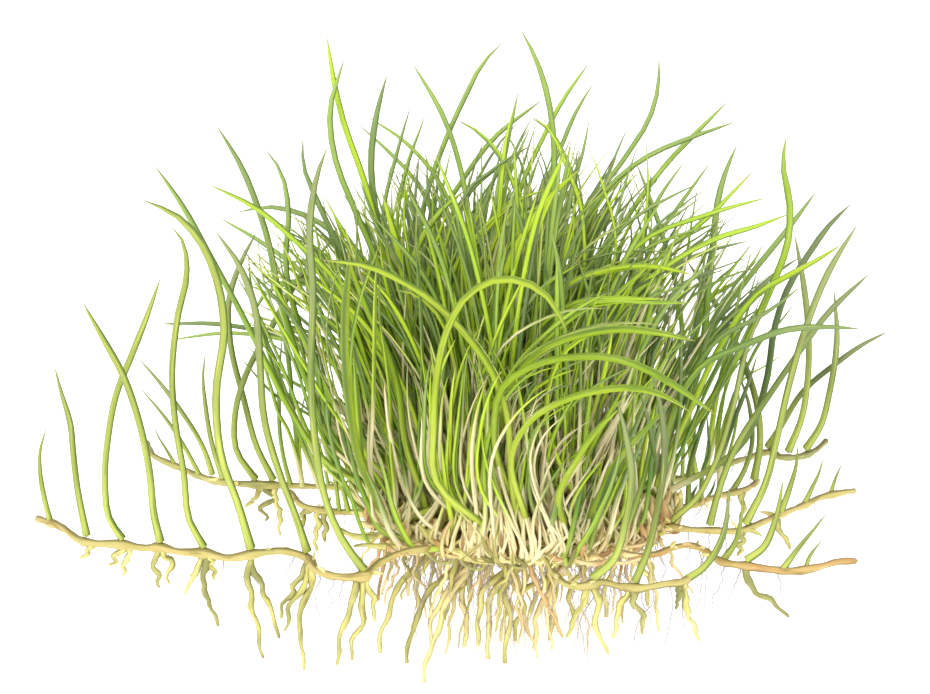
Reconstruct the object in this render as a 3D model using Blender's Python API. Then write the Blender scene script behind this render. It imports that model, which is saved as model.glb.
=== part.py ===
"""A clump of dwarf hairgrass with bare roots, standing on its root tips.

Metres in the scene, +Z up; the lists below are in millimetres. The origin is under the middle of the plant,
on the surface that the root tips stand on. The plant is a flat crown, tufts of stems on it, runners that
creep out of it with a shoot at each joint, and roots.

Most stems, runners and roots follow their outlines in the picture. Such a route is a list of pixels of the
930 x 694 picture, from the foot to the tip, and a depth or a height turns each pixel into a point.
"""
import math
import random
from collections import namedtuple

import bmesh
import bpy
import numpy as np
from mathutils import Vector
from mathutils.bvhtree import BVHTree
from mathutils.kdtree import KDTree

MM = 0.001
GAP = 0.3

# The viewpoint of the picture: a 100 mm lens over a frame 36 mm wide, looking 15 degrees down.
PICTURE_WIDTH = 930
PICTURE_HEIGHT = 694
PIXEL_STEP = 36 / 100 / PICTURE_WIDTH
VIEW_TILT = math.radians(15)
VIEW_TARGET = np.array((-2.6, 0.0, 47.0))
VIEW_DISTANCE = 405.0
VIEW_BACK = np.array((0.0, -math.cos(VIEW_TILT), math.sin(VIEW_TILT)))
EYE = VIEW_TARGET + VIEW_DISTANCE * VIEW_BACK

# The crown, a flat mat, narrower below.
CROWN_CENTRE = (6.5, -2.0, 20.5)
CROWN_RADIUS = (23.5, 21.5)
CROWN_RISE = 2.4
CROWN_DROP = 3.6
CROWN_NARROWING = 0.32

# A stem's foot in its sheath, and the sheath itself.
SHEATH_RADIUS = 2.3
SHEATH_HEIGHT = 3.4
FOOT_SPREAD = 1.1

# The knob that a bundle of roots hangs from.
KNOB_RADIUS = 2.0
KNOB_HEIGHT = 2.6

RUNNER_HEIGHT = 20.5
ROOT_WIDTH = 0.9

# How many straight steps each kind of stem has. A route of many pixels gets the most.
STEM_STEPS = 5
SHOOT_STEPS = 6
BENT_STEMS_FROM = 8
BENT_STEPS = 8
PLAIN_STEPS = 4

# How stems keep clear of one another: the gap sought past the first beads of the foot, and the shifts in
# depth tried for it.
FOOT_BEADS = 6
CLEAR = 0.5
DEPTH_SHIFTS = (0, 1, -1, 2, -2, 3, -3, 4, -4, 5.5, -5.5, 7, -7, 9, -9, 11, -11)

Blade = namedtuple("Blade", "width tip_depth route")
Tuft = namedtuple("Tuft", "foot plain blades")
Shoot = namedtuple("Shoot", "width tip_depth foot route")
Runner = namedtuple("Runner", "width route shoots roots")
RootBundle = namedtuple("RootBundle", "place standing hanging")

TUFTS = {
    "tuft_back_left": Tuft((-3.2, 13.5), 1, (
        Blade(1.1, 26, ((412, 385), (398, 312), (387, 262), (375, 207), (371, 165), (378, 108), (387, 75))),
        Blade(0.7, 31, ((406, 360), (391, 285), (383, 215), (395, 160), (410, 108))),
        Blade(0.7, 36, ((422, 375), (408, 300), (397, 222), (406, 170), (425, 116))),
    )),
    "tuft_back_middle_left": Tuft((2.8, 14.3), 0, (
        Blade(0.7, 30, ((450, 370), (449, 295), (437, 226), (417, 183), (389, 152), (359, 125))),
        Blade(0.7, 35, ((470, 380), (473, 305), (461, 232), (434, 174), (404, 141), (368, 117))),
        Blade(0.9, 40, ((466, 410), (472, 325), (471, 235), (462, 175), (444, 118), (413, 64))),
        Blade(0.9, 46, ((440, 400), (420, 280), (424, 205), (442, 149), (466, 95), (483, 63), (502, 43))),
    )),
    "tuft_back_middle": Tuft((8.8, 14.8), 0, (
        Blade(0.9, 44, ((455, 390), (432, 305), (434, 228), (460, 184), (493, 139), (542, 100))),
        Blade(0.7, 42, ((470, 380), (453, 315), (452, 250), (466, 197), (494, 170), (530, 146))),
        Blade(0.9, 34, ((490, 355), (490, 280), (496, 203), (505, 153), (518, 93))),
        Blade(0.7, 46, ((500, 310), (498, 245), (507, 182), (530, 128))),
    )),
    "tuft_back_middle_right": Tuft((14.8, 13.9), 0, (
        Blade(1.0, 26, ((524, 400), (531, 325), (543, 262), (553, 187), (554, 145), (535, 57), (521, 30))),
        Blade(0.8, 30, ((530, 350), (529, 272), (520, 203), (500, 157), (472, 128), (460, 122))),
        Blade(0.8, 44, ((515, 335), (508, 250), (521, 187), (541, 142), (563, 100), (589, 63))),
        Blade(0.8, 50, ((525, 345), (523, 272), (538, 202), (559, 152), (578, 108), (593, 84))),
        Blade(0.7, 40, ((520, 320), (518, 240), (531, 180), (541, 152))),
    )),
    "tuft_back_right": Tuft((20.9, 11.8), 0, (
        Blade(0.7, 36, ((565, 370), (551, 258), (569, 195), (583, 152), (589, 121))),
        Blade(0.8, 28, ((585, 340), (585, 270), (580, 203), (566, 159), (552, 133), (532, 118))),
        Blade(0.6, 44, ((578, 335), (582, 260), (600, 197), (616, 154), (627, 129))),
        Blade(0.9, 50, ((572, 360), (568, 275), (589, 210), (626, 156), (650, 117), (658, 88), (659, 58))),
    )),
    "tuft_left_back": Tuft((-11.0, 4.9), 0, (
        Blade(0.8, 24, ((374, 436), (364, 376), (340, 315), (305, 275), (264, 244), (220, 218))),
        Blade(0.9, 14, ((370, 445), (355, 392), (332, 360), (303, 341), (262, 331), (218, 324), (160, 324))),
        Blade(0.7, 22, ((364, 430), (340, 372), (308, 347), (270, 337), (230, 333), (170, 340))),
        Blade(0.6, 14, ((358, 440), (338, 402), (310, 391), (270, 367), (247, 346))),
        Blade(0.6, 7, ((352, 470), (336, 440), (315, 419), (275, 395), (240, 357))),
    )),
    "tuft_left_middle": Tuft((-4.1, 4.9), 0, (
        Blade(0.9, 2, ((405, 405), (388, 345), (362, 280), (337, 242), (317, 200), (303, 163), (303, 138))),
        Blade(1.0, 8, ((420, 425), (404, 345), (390, 280), (363, 177), (343, 120), (334, 82), (327, 37))),
        Blade(1.0, 14, ((422, 425), (408, 355), (376, 258), (354, 208), (335, 158), (330, 110), (344, 60))),
    )),
    "tuft_middle_back": Tuft((3.7, 5.7), 0, (
        Blade(1.3, -2, ((460, 440), (425, 370), (408, 300), (398, 248), (390, 220), (382, 192))),
        Blade(1.0, 14, ((450, 385), (438, 320), (454, 270), (486, 227), (520, 199), (545, 190))),
        Blade(1.1, 10, ((446, 410), (415, 330), (408, 280), (420, 242), (440, 212), (465, 190))),
    )),
    "tuft_middle_right_back": Tuft((11.4, 5.7), 1, (
        Blade(1.3, -4, ((515, 400), (497, 330), (512, 256), (535, 217), (560, 187), (579, 170))),
        Blade(1.1, -12, ((530, 400), (543, 318), (564, 288), (594, 274), (627, 267), (660, 267), (693, 275))),
        Blade(0.9, 32, ((556, 380), (571, 290), (585, 224), (614, 182), (650, 155), (687, 139), (735, 122))),
    )),
    "tuft_right_back": Tuft((18.3, 4.9), 0, (
        Blade(0.9, 40, ((580, 380), (590, 300), (610, 246), (639, 200), (669, 161), (699, 130), (727, 102))),
        Blade(0.8, 20, ((605, 370), (630, 300), (667, 250), (704, 221), (735, 190), (753, 171))),
        Blade(0.8, 12, ((593, 360), (610, 280), (649, 237), (700, 217), (735, 206), (766, 198))),
        Blade(0.7, 34, ((600, 350), (632, 260), (645, 227), (659, 198), (684, 162))),
        Blade(0.7, 28, ((612, 350), (636, 280), (660, 233), (686, 196), (710, 163))),
    )),
    "tuft_right_outer": Tuft((25.2, 4.0), 0, (
        Blade(1.1, 26, ((670, 420), (702, 345), (709, 282), (713, 246), (719, 195), (727, 168), (737, 145))),
        Blade(0.8, 32, ((662, 420), (682, 345), (677, 290), (664, 240), (647, 190), (636, 162))),
        Blade(1.2, 20, ((690, 430), (735, 360), (771, 288), (788, 241), (790, 207), (783, 161), (786, 137))),
        Blade(1.0, 36, ((680, 400), (714, 326), (749, 277), (787, 230), (816, 192))),
    )),
    "tuft_left_outer": Tuft((-13.5, -3.7), 1, (
        Blade(1.0, -18, ((330, 465), (290, 410), (265, 360), (238, 307), (214, 263), (177, 197), (155, 166))),
        Blade(1.0, -8, ((340, 455), (310, 390), (277, 285), (268, 240), (258, 208), (242, 168), (217, 126))),
        Blade(0.7, -12, ((335, 440), (308, 340), (279, 302), (246, 267))),
    )),
    "tuft_left_inner": Tuft((-6.7, -3.7), 0, (
        Blade(0.9, -6, ((385, 430), (366, 360), (328, 271), (300, 245), (256, 208), (210, 185))),
        Blade(0.9, 6, ((398, 420), (388, 330), (371, 280), (350, 249), (313, 219), (270, 207), (238, 212))),
        Blade(0.9, 10, ((394, 410), (378, 347), (350, 295), (322, 283), (290, 282), (265, 294), (251, 320))),
        Blade(0.9, 3, ((385, 440), (340, 410), (300, 327), (286, 268), (288, 205), (280, 170), (266, 150))),
    )),
    "tuft_middle": Tuft((0.2, -4.6), 4, ()),
    "tuft_middle_front": Tuft((7.1, -2.9), 3, (
        Blade(0.9, -10, ((490, 400), (489, 365), (491, 335), (496, 288), (503, 262))),
    )),
    "tuft_middle_right": Tuft((14.0, -3.7), 2, (
        Blade(0.9, -26, ((540, 400), (550, 330), (576, 306), (610, 300), (652, 302), (690, 303))),
        Blade(0.7, -2, ((600, 400), (630, 340), (668, 298), (699, 276), (722, 271))),
    )),
    "tuft_right_inner": Tuft((20.9, -3.7), 2, (
        Blade(0.9, 6, ((615, 380), (638, 290), (677, 259), (715, 239), (760, 225), (789, 214))),
        Blade(0.8, 16, ((620, 360), (646, 282), (686, 260), (712, 250), (748, 241))),
    )),
    "tuft_right_end": Tuft((27.7, -2.9), 0, (
        Blade(1.0, 18, ((690, 410), (722, 343), (757, 295), (793, 273), (817, 260), (841, 245))),
        Blade(0.9, 12, ((684, 400), (722, 329), (750, 297), (780, 270), (799, 258))),
        Blade(0.8, 6, ((680, 400), (722, 336), (759, 317), (780, 303), (800, 287))),
        Blade(1.1, -4, ((670, 420), (704, 364), (745, 345), (785, 330), (830, 327), (860, 329))),
        Blade(1.1, 28, ((745, 440), (767, 378), (775, 326), (788, 288), (808, 255), (832, 222), (851, 204))),
    )),
    "tuft_front_left": Tuft((-7.5, -11.5), 1, (
        Blade(1.1, -16, ((405, 440), (398, 388), (385, 347), (367, 309), (354, 275), (347, 250))),
        Blade(1.3, -28, ((388, 520), (373, 490), (361, 465), (352, 422), (346, 372), (345, 315), (350, 252))),
    )),
    "tuft_front_inner": Tuft((4.5, -11.5), 2, (
        Blade(1.1, -34, ((505, 400), (538, 353), (585, 334), (620, 329), (660, 333), (695, 341))),
    )),
    "tuft_front_right": Tuft((12.3, -12.3), 2, (
        Blade(0.8, -24, ((605, 500), (616, 470), (634, 430), (650, 392))),
        Blade(0.8, -27, ((575, 500), (588, 455), (603, 425), (625, 385))),
    )),
    "tuft_front_right_outer": Tuft((20.0, -10.6), 2, (
        Blade(0.8, -20, ((651, 480), (651, 435), (640, 392))),
        Blade(0.8, -14, ((618, 485), (621, 440), (612, 395))),
    )),
    "tuft_front_edge_left": Tuft((0.2, -19.2), 1, (
        Blade(1.1, -38, ((436, 480), (434, 425), (437, 375), (448, 328), (467, 296), (495, 280), (525, 282),
                         (549, 298), (567, 332))),
    )),
    "tuft_front_edge": Tuft((6.2, -19.2), 0, (
        Blade(1.1, -32, ((510, 455), (508, 420), (494, 376), (466, 335), (430, 299), (400, 280), (368, 266),
                         (323, 260))),
        Blade(1.1, -44, ((494, 435), (505, 384), (535, 365), (573, 357), (612, 358), (646, 369), (677, 387),
                         (716, 415))),
        Blade(1.0, -50, ((513, 450), (533, 418), (565, 400), (602, 390), (642, 389), (676, 402), (690, 412))),
    )),
    "tuft_front_edge_right": Tuft((12.3, -19.2), 0, (
        Blade(1.1, -38, ((559, 508), (578, 458), (596, 431), (618, 410))),
        Blade(1.0, -30, ((580, 526), (597, 500), (618, 460), (645, 430), (668, 405))),
    )),
}

RUNNERS = {
    "runner_left_front": Runner(1.15, (
        (438, 546), (418, 550), (396, 554), (376, 566), (355, 578), (332, 576), (315, 568), (300, 554),
        (284, 551), (252, 554), (220, 558), (200, 552), (165, 551), (155, 545), (137, 549), (122, 545),
        (104, 543), (86, 543), (75, 537), (63, 528), (48, 522), (38, 519),
    ), (
        Shoot(0.8, -4, (51, 521), ((46, 505), (40, 470), (40, 452), (46, 429))),
    ), (
        ((91, 547), (88, 552), (81, 558)),
        ((122, 549), (117, 557), (110, 565)),
        ((125, 549), (127, 558), (123, 575)),
        ((160, 555), (155, 567), (159, 587)),
        ((163, 556), (169, 564), (169, 583)),
        ((203, 558), (194, 575), (185, 593)),
        ((206, 560), (203, 574), (206, 592), (218, 625)),
        ((209, 560), (213, 568), (214, 579)),
        ((250, 558), (249, 577), (252, 605), (263, 657)),
        ((254, 558), (256, 579), (268, 600), (279, 637)),
        ((304, 564), (298, 582), (286, 599), (281, 617)),
        ((307, 566), (303, 583), (293, 605), (285, 630)),
        ((309, 567), (311, 585), (301, 610), (304, 669)),
        ((357, 580), (353, 598), (343, 628), (337, 664)),
        ((361, 580), (364, 600), (357, 628), (352, 659)),
        ((365, 579), (372, 597), (375, 620)),
    )),
    "runner_left_back": Runner(1.0, (
        (386, 494), (358, 490), (330, 487), (300, 486), (270, 485), (228, 483), (202, 477), (180, 468),
        (162, 461), (152, 452), (147, 443),
    ), (
        Shoot(0.6, 26, (175, 465), ((166, 449), (158, 436), (154, 425))),
        Shoot(0.7, 22, (199, 475), ((181, 441), (163, 415), (141, 389))),
        Shoot(0.8, 18, (223, 481), ((213, 448), (205, 402), (203, 378), (205, 355))),
    ), (
        ((268, 489), (267, 505), (266, 520)),
        ((271, 489), (278, 508), (280, 535)),
        ((264, 489), (256, 497), (246, 506)),
    )),
    "runner_front": Runner(1.0, (
        (540, 546), (547, 560), (556, 575), (566, 584), (580, 587), (596, 583), (612, 583), (632, 590),
        (652, 585), (676, 584), (690, 577),
    ), (
        Shoot(1.0, -24, (686, 579), ((702, 569), (715, 553), (725, 528), (728, 505), (729, 488))),
    ), (
        ((590, 588), (583, 600), (577, 615), (567, 637)),
        ((593, 587), (599, 603), (595, 622), (608, 653)),
        ((631, 592), (621, 606), (613, 637)),
        ((636, 592), (635, 605), (642, 614), (642, 633)),
        ((677, 587), (679, 597), (676, 608)),
        ((681, 586), (687, 604), (691, 622), (699, 640)),
    )),
    "runner_right_front": Runner(1.0, (
        (592, 541), (612, 549), (632, 555), (650, 556), (665, 550), (682, 546), (700, 547), (712, 556),
        (730, 564), (755, 567), (785, 571), (808, 570), (830, 563), (855, 561),
    ), (
        Shoot(0.9, -24, (723, 561), ((735, 543), (741, 520), (743, 496))),
        Shoot(0.8, -24, (784, 571), ((797, 550), (815, 528), (826, 514))),
        Shoot(0.8, -26, (804, 570), ((809, 558), (822, 540))),
    ), (
        ((744, 567), (749, 584), (757, 594), (771, 599), (780, 609), (788, 616)),
    )),
    "runner_right": Runner(1.0, (
        (652, 520), (675, 528), (705, 530), (745, 530), (765, 521), (782, 514), (802, 506), (816, 501),
        (828, 492), (840, 493), (854, 491),
    ), (
        Shoot(0.9, 4, (779, 514), ((790, 487), (796, 466), (798, 446))),
        Shoot(0.8, 8, (804, 505), ((811, 490), (819, 473), (823, 459))),
        Shoot(0.7, 12, (830, 492), ((836, 477), (842, 464))),
    ), (
        ((740, 533), (742, 545), (738, 555)),
        ((778, 518), (779, 530), (786, 539), (790, 548)),
    )),
    "runner_right_back": Runner(1.0, (
        (600, 487), (626, 486), (652, 483), (685, 478), (716, 470), (740, 460), (757, 456), (768, 450),
        (780, 457), (792, 457), (806, 455), (816, 450), (826, 441),
    ), (), ()),
    "runner_stub_left": Runner(1.0, (
        (392, 517), (374, 514), (356, 512), (335, 512), (318, 510), (306, 507), (297, 500), (290, 492),
    ), (), (
        ((318, 512), (316, 530), (317, 550)),
        ((326, 512), (325, 527), (325, 541)),
        ((310, 510), (303, 518), (299, 532)),
    )),
    "runner_stub_right": Runner(0.9, (
        (662, 507), (690, 507), (703, 502), (716, 496), (732, 494), (746, 489), (758, 481),
    ), (
        Shoot(0.8, 20, (733, 493), ((742, 475), (751, 450), (749, 405), (738, 372))),
    ), (
        ((742, 492), (743, 505), (741, 520)),
    )),
}

SHOOTS = {
    "shoot_left_front_2": ("runner_left_front", Shoot(1.0, -6, (88, 543), (
        (83, 518), (78, 492), (73, 450), (71, 428), (60, 388), (55, 368)))),
    "shoot_left_front_3": ("runner_left_front", Shoot(1.0, -18, (121, 545), (
        (110, 520), (105, 485), (108, 438), (117, 392), (131, 357), (150, 308), (160, 279)))),
    "shoot_left_front_4": ("runner_left_front", Shoot(1.1, -30, (160, 548), (
        (155, 520), (149, 468), (138, 418), (123, 375), (104, 340), (83, 303)))),
    "shoot_left_front_5": ("runner_left_front", Shoot(1.0, -20, (205, 554), (
        (190, 522), (184, 475), (175, 420), (172, 375), (178, 315), (187, 270), (182, 240), (172, 227)))),
    "shoot_left_front_6": ("runner_left_front", Shoot(1.2, -34, (252, 554), (
        (240, 510), (221, 455), (216, 395), (224, 325), (216, 277), (198, 238), (177, 216), (143, 200)))),
    "shoot_left_front_7": ("runner_left_front", Shoot(1.1, -24, (308, 558), (
        (297, 520), (279, 472), (264, 418), (260, 365), (255, 308), (239, 265), (216, 232)))),
    "shoot_left_front_8": ("runner_left_front", Shoot(1.1, -20, (361, 577), (
        (343, 541), (325, 498), (315, 440), (311, 375), (313, 290), (310, 220), (318, 172), (327, 148)))),
    "shoot_left_back_4": ("runner_left_back", Shoot(0.8, 26, (213, 480), (
        (205, 452), (179, 408), (155, 377), (140, 360)))),
    "shoot_left_back_5": ("runner_left_back", Shoot(1.0, 8, (254, 484), (
        (237, 452), (235, 415), (247, 372), (270, 330), (298, 280), (333, 239)))),
    "shoot_left_back_6": ("runner_left_back", Shoot(1.0, 14, (275, 485), (
        (258, 450), (244, 400), (230, 340), (229, 300), (241, 262), (256, 233)))),
    "shoot_front_1": ("runner_front", Shoot(1.1, -36, (592, 584), (
        (611, 563), (626, 520), (632, 480), (627, 440), (617, 400)))),
    "shoot_front_2": ("runner_front", Shoot(1.0, -28, (633, 589), (
        (648, 550), (658, 505), (664, 465), (662, 415), (652, 372)))),
    "shoot_right_front_2": ("runner_right_front", Shoot(1.0, -22, (745, 566), (
        (763, 548), (775, 521), (783, 481)))),
    "shoot_right_1": ("runner_right", Shoot(0.9, 2, (673, 528), (
        (695, 500), (714, 466), (731, 415), (748, 345), (762, 310)))),
    "shoot_right_2": ("runner_right", Shoot(1.0, 16, (711, 530), (
        (719, 490), (736, 447), (766, 400), (797, 355), (829, 312), (869, 274)))),
    "shoot_right_3": ("runner_right", Shoot(1.1, 6, (746, 530), (
        (765, 485), (777, 438), (789, 385), (805, 330), (829, 271), (857, 225)))),
    "shoot_right_back_1": ("runner_right_back", Shoot(1.0, 40, (768, 451), (
        (781, 426), (801, 394), (838, 362), (862, 345), (887, 332)))),
    "shoot_right_back_2": ("runner_right_back", Shoot(1.1, 34, (789, 457), (
        (801, 420), (808, 375), (808, 325), (803, 280), (795, 236)))),
    "shoot_right_back_3": ("runner_right_back", Shoot(1.1, 42, (806, 455), (
        (820, 427), (830, 390), (837, 335), (834, 291)))),
    "shoot_right_back_4": ("runner_stub_right", Shoot(1.1, 24, (753, 484), (
        (760, 445), (757, 405), (742, 358), (722, 315), (700, 280), (687, 261)))),
}

ROOTS = {
    "roots_left": RootBundle((-8.3, -8.6), (
        ((396, 590), (388, 615), (380, 653)),
    ), (
        ((416, 590), (420, 603), (412, 628)),
    )),
    "roots_front_left": RootBundle((-1.6, -14.6), (
        ((447, 600), (436, 640), (424, 682)),
        ((426, 595), (414, 628), (407, 663)),
    ), (
        ((462, 600), (467, 620), (464, 646)),
        ((440, 600), (432, 622), (432, 645)),
    )),
    "roots_front": RootBundle((5.4, -16.2), (
        ((488, 600), (489, 625), (488, 659)),
        ((504, 590), (510, 612), (505, 663)),
    ), (
        ((481, 595), (479, 618), (478, 645)),
        ((500, 594), (500, 608), (497, 616)),
    )),
    "roots_front_right": RootBundle((12.8, -13.8), (
        ((524, 595), (519, 617), (515, 641)),
        ((552, 590), (555, 610), (550, 640)),
    ), (
        ((542, 590), (533, 602), (530, 612)),
        ((545, 597), (537, 622), (534, 648)),
    )),
    "roots_right": RootBundle((19.6, -6.4), (
        ((610, 575), (604, 595), (606, 617)),
        ((640, 565), (650, 585), (648, 606)),
    ), (
        ((575, 580), (570, 600), (573, 615)),
    )),
    "roots_back": RootBundle((4.5, 6.5), (
        ((430, 560), (414, 580), (408, 596)),
        ((490, 560), (488, 578), (494, 592)),
        ((560, 560), (572, 580), (570, 598)),
    ), (
        ((470, 545), (452, 556), (446, 572)),
        ((515, 545), (530, 556), (534, 574)),
        ((488, 540), (478, 552), (480, 566)),
    )),
}

# The outline, in pixels, that the plain stems of the clump stay inside.
CLUMP_OUTLINE = (
    (330, 520), (305, 420), (268, 330), (285, 265), (345, 200), (400, 165), (520, 125), (570, 130),
    (640, 180), (700, 195), (750, 260), (752, 330), (735, 400), (715, 470), (690, 560), (380, 570),
)


def sight(u, v):
    """The direction in which a pixel is seen."""
    across = (u - PICTURE_WIDTH / 2) * PIXEL_STEP
    up = (PICTURE_HEIGHT / 2 - v) * PIXEL_STEP
    tilt_sine, tilt_cosine = math.sin(VIEW_TILT), math.cos(VIEW_TILT)
    return np.array((across, tilt_cosine + up * tilt_sine, up * tilt_cosine - tilt_sine))


def seen_at(pixel, depth):
    """The point of a pixel's line of sight whose Y is depth."""
    way = sight(*pixel)
    return EYE + way * (depth - EYE[1]) / way[1]


def seen_at_height(pixel, height):
    """The point of a pixel's line of sight whose Z is height."""
    way = sight(*pixel)
    return EYE + way * (height - EYE[2]) / way[2]


def pixel_of(point):
    """The pixel at which a point is seen."""
    across, deep, high = np.asarray(point) - EYE
    tilt_sine, tilt_cosine = math.sin(VIEW_TILT), math.cos(VIEW_TILT)
    ahead = deep * tilt_cosine - high * tilt_sine
    up = deep * tilt_sine + high * tilt_cosine
    return np.array((
        PICTURE_WIDTH / 2 + across / ahead / PIXEL_STEP,
        PICTURE_HEIGHT / 2 - up / ahead / PIXEL_STEP,
    ))


def smooth(points, steps):
    """Points at even steps along a smooth curve through the given ones."""
    points = np.asarray(points, float)
    lengths = np.linalg.norm(np.diff(points, axis=0), axis=1)
    knots = np.concatenate(((0.0,), np.cumsum(lengths)))
    slopes = np.gradient(points, knots, axis=0)
    fine = np.linspace(0, knots[-1], 200)
    i = np.clip(np.searchsorted(knots, fine, side="right") - 1, 0, len(knots) - 2)
    span = lengths[i][:, None]
    t = (fine - knots[i])[:, None] / span
    curve = (
        (2 * t**3 - 3 * t**2 + 1) * points[i]
        + (t**3 - 2 * t**2 + t) * span * slopes[i]
        + (3 * t**2 - 2 * t**3) * points[i + 1]
        + (t**3 - t**2) * span * slopes[i + 1]
    )
    along = np.concatenate(((0.0,), np.cumsum(np.linalg.norm(np.diff(curve, axis=0), axis=1))))
    even = np.linspace(0, along[-1], steps + 1)
    return np.column_stack([np.interp(even, along, curve[:, axis]) for axis in range(3)])


def traced(foot, route, tip_depth):
    """The points of a route that starts at a place and passes evenly to the tip's depth."""
    pixels = np.vstack((pixel_of(foot), route))
    along = np.cumsum(np.linalg.norm(np.diff(pixels, axis=0), axis=1))
    share = (along / along[-1]) ** 1.2
    depths = foot[1] + (tip_depth - foot[1]) * share
    return [foot] + [seen_at(pixel, depth) for pixel, depth in zip(route, depths)]


def stem_radii(width, count):
    """A stem's radius at each of its points: full over most of it, a quarter at the tip."""
    share = np.linspace(0, 1, count)
    return width / 2 * (1 - 0.75 * share**3)


def collection(name):
    """A new collection in the scene."""
    made = bpy.data.collections.new(name)
    bpy.context.scene.collection.children.link(made)
    return made


def material(name, colour, roughness):
    """A plain Principled material."""
    made = bpy.data.materials.new(name)
    made.use_nodes = True
    shader = made.node_tree.nodes["Principled BSDF"]
    shader.inputs["Base Color"].default_value = (*colour, 1.0)
    shader.inputs["Roughness"].default_value = roughness
    shader.inputs["Metallic"].default_value = 0.0
    return made


def section(sides, guides):
    """A polygon of unit radius, in millimetres: the cross-section that a tube's points scale."""
    curve = bpy.data.curves.new(f"section_{sides}", "CURVE")
    spline = curve.splines.new("POLY")
    spline.points.add(sides - 1)
    for i, point in enumerate(spline.points):
        angle = 2 * math.pi * i / sides
        point.co = (MM * math.cos(angle), MM * math.sin(angle), 0, 1)
    spline.use_cyclic_u = True
    made = bpy.data.objects.new(curve.name, curve)
    made.hide_render = True
    made.display_type = "WIRE"
    guides.objects.link(made)
    return made


def tube(name, path, radii, profile, home):
    """A closed tube along a path, as a mesh object."""
    curve = bpy.data.curves.new(name, "CURVE")
    curve.dimensions = "3D"
    curve.bevel_mode = "OBJECT"
    curve.bevel_object = profile
    curve.use_fill_caps = True
    spline = curve.splines.new("POLY")
    spline.points.add(len(path) - 1)
    for point, place, radius in zip(spline.points, path, radii):
        point.co = (*(Vector(place) * MM), 1)
        point.radius = radius
    guide = bpy.data.objects.new(name, curve)
    home.objects.link(guide)
    bpy.context.view_layer.update()
    mesh = bpy.data.meshes.new_from_object(guide.evaluated_get(bpy.context.evaluated_depsgraph_get()))
    bpy.data.objects.remove(guide)
    bpy.data.curves.remove(curve)
    shape = bmesh.new()
    shape.from_mesh(mesh)
    bmesh.ops.remove_doubles(shape, verts=shape.verts, dist=0.01 * MM)
    bmesh.ops.recalc_face_normals(shape, faces=shape.faces)
    shape.to_mesh(mesh)
    shape.free()
    mesh.shade_smooth()
    made = bpy.data.objects.new(name, mesh)
    home.objects.link(made)
    return made


def lump(name, centre, radius, height, home):
    """A low rounded body, wide at the middle: a sheath round the feet of stems, or a knob of root."""
    shape = bmesh.new()
    bmesh.ops.create_uvsphere(shape, u_segments=5, v_segments=3, radius=1.15)
    for vertex in shape.verts:
        vertex.co.x *= radius * MM
        vertex.co.y *= radius * MM
        vertex.co.z *= height / 2 * MM
    mesh = bpy.data.meshes.new(name)
    shape.to_mesh(mesh)
    shape.free()
    mesh.shade_smooth()
    made = bpy.data.objects.new(name, mesh)
    made.location = Vector(centre) * MM
    home.objects.link(made)
    return made


def join(base, pieces, cutters):
    """Makes one solid of a base and the pieces that grow from it."""
    for piece in pieces:
        for home in piece.users_collection:
            home.objects.unlink(piece)
        cutters.objects.link(piece)
        piece.hide_render = True
        piece.display_type = "WIRE"
        union = base.modifiers.new(piece.name, "BOOLEAN")
        union.operation = "UNION"
        union.solver = "EXACT"
        union.object = piece


def crown_mesh():
    """The crown: a flat round mat, narrower below, with a knobbly edge and surface."""
    shape = bmesh.new()
    bmesh.ops.create_uvsphere(shape, u_segments=18, v_segments=8, radius=1)
    for vertex in shape.verts:
        x, y, z = vertex.co
        angle = math.atan2(y, x)
        across = math.hypot(x, y)
        edge = 1 + 0.04 * math.sin(5 * angle + 1) + 0.03 * math.sin(9 * angle)
        knob = 1 + 0.14 * math.sin(6 * x + 2) * math.cos(7 * y)
        spread = across ** 0.55 if across > 0 else 0
        spread *= 1 - CROWN_NARROWING * max(0, -z)
        thickness = CROWN_RISE if z > 0 else CROWN_DROP
        vertex.co.x = (CROWN_CENTRE[0] + CROWN_RADIUS[0] * edge * spread * math.cos(angle)) * MM
        vertex.co.y = (CROWN_CENTRE[1] + CROWN_RADIUS[1] * edge * spread * math.sin(angle)) * MM
        vertex.co.z = (CROWN_CENTRE[2] + thickness * knob * z) * MM
    mesh = bpy.data.meshes.new("crown")
    shape.to_mesh(mesh)
    tree = BVHTree.FromBMesh(shape)
    shape.free()
    mesh.shade_smooth()
    return mesh, tree


def crown_face(tree, place, side):
    """The height of the crown's upper (side 1) or lower (side -1) face at a place in plan."""
    start = Vector((place[0], place[1], CROWN_CENTRE[2] + side * 50)) * MM
    hit = tree.ray_cast(start, Vector((0, 0, -side)))[0]
    return hit.z / MM


class Thicket:
    """What has been placed: points a millimetre apart along every stem, runner and root."""

    def __init__(self):
        self.points = []
        self.radii = []
        self.tree = KDTree(0)
        self.tree.balance()

    def add(self, lines, start=0, stop=None):
        """Takes in lines, each a path with its radius, from their bead start to their bead stop."""
        for path, radius in lines:
            for point in self.beads(path)[start:stop]:
                self.points.append(point)
                self.radii.append(radius)
        self.tree = KDTree(len(self.points))
        for i, point in enumerate(self.points):
            self.tree.insert(point, i)
        self.tree.balance()

    @staticmethod
    def beads(path):
        """Points about a millimetre apart along a path."""
        beads = []
        for a, b in zip(path, path[1:]):
            count = max(1, math.ceil(np.linalg.norm(b - a)))
            beads += [a + (b - a) * i / count for i in range(count)]
        return beads + [path[-1]]

    def room(self, path, radius, skip=FOOT_BEADS):
        """The least gap between a path, past its foot, and what has been placed."""
        least = 10.0
        for bead in self.beads(path)[skip:]:
            for _, i, distance in self.tree.find_range(bead, 3.5):
                least = min(least, distance - radius - self.radii[i])
        return least


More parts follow.
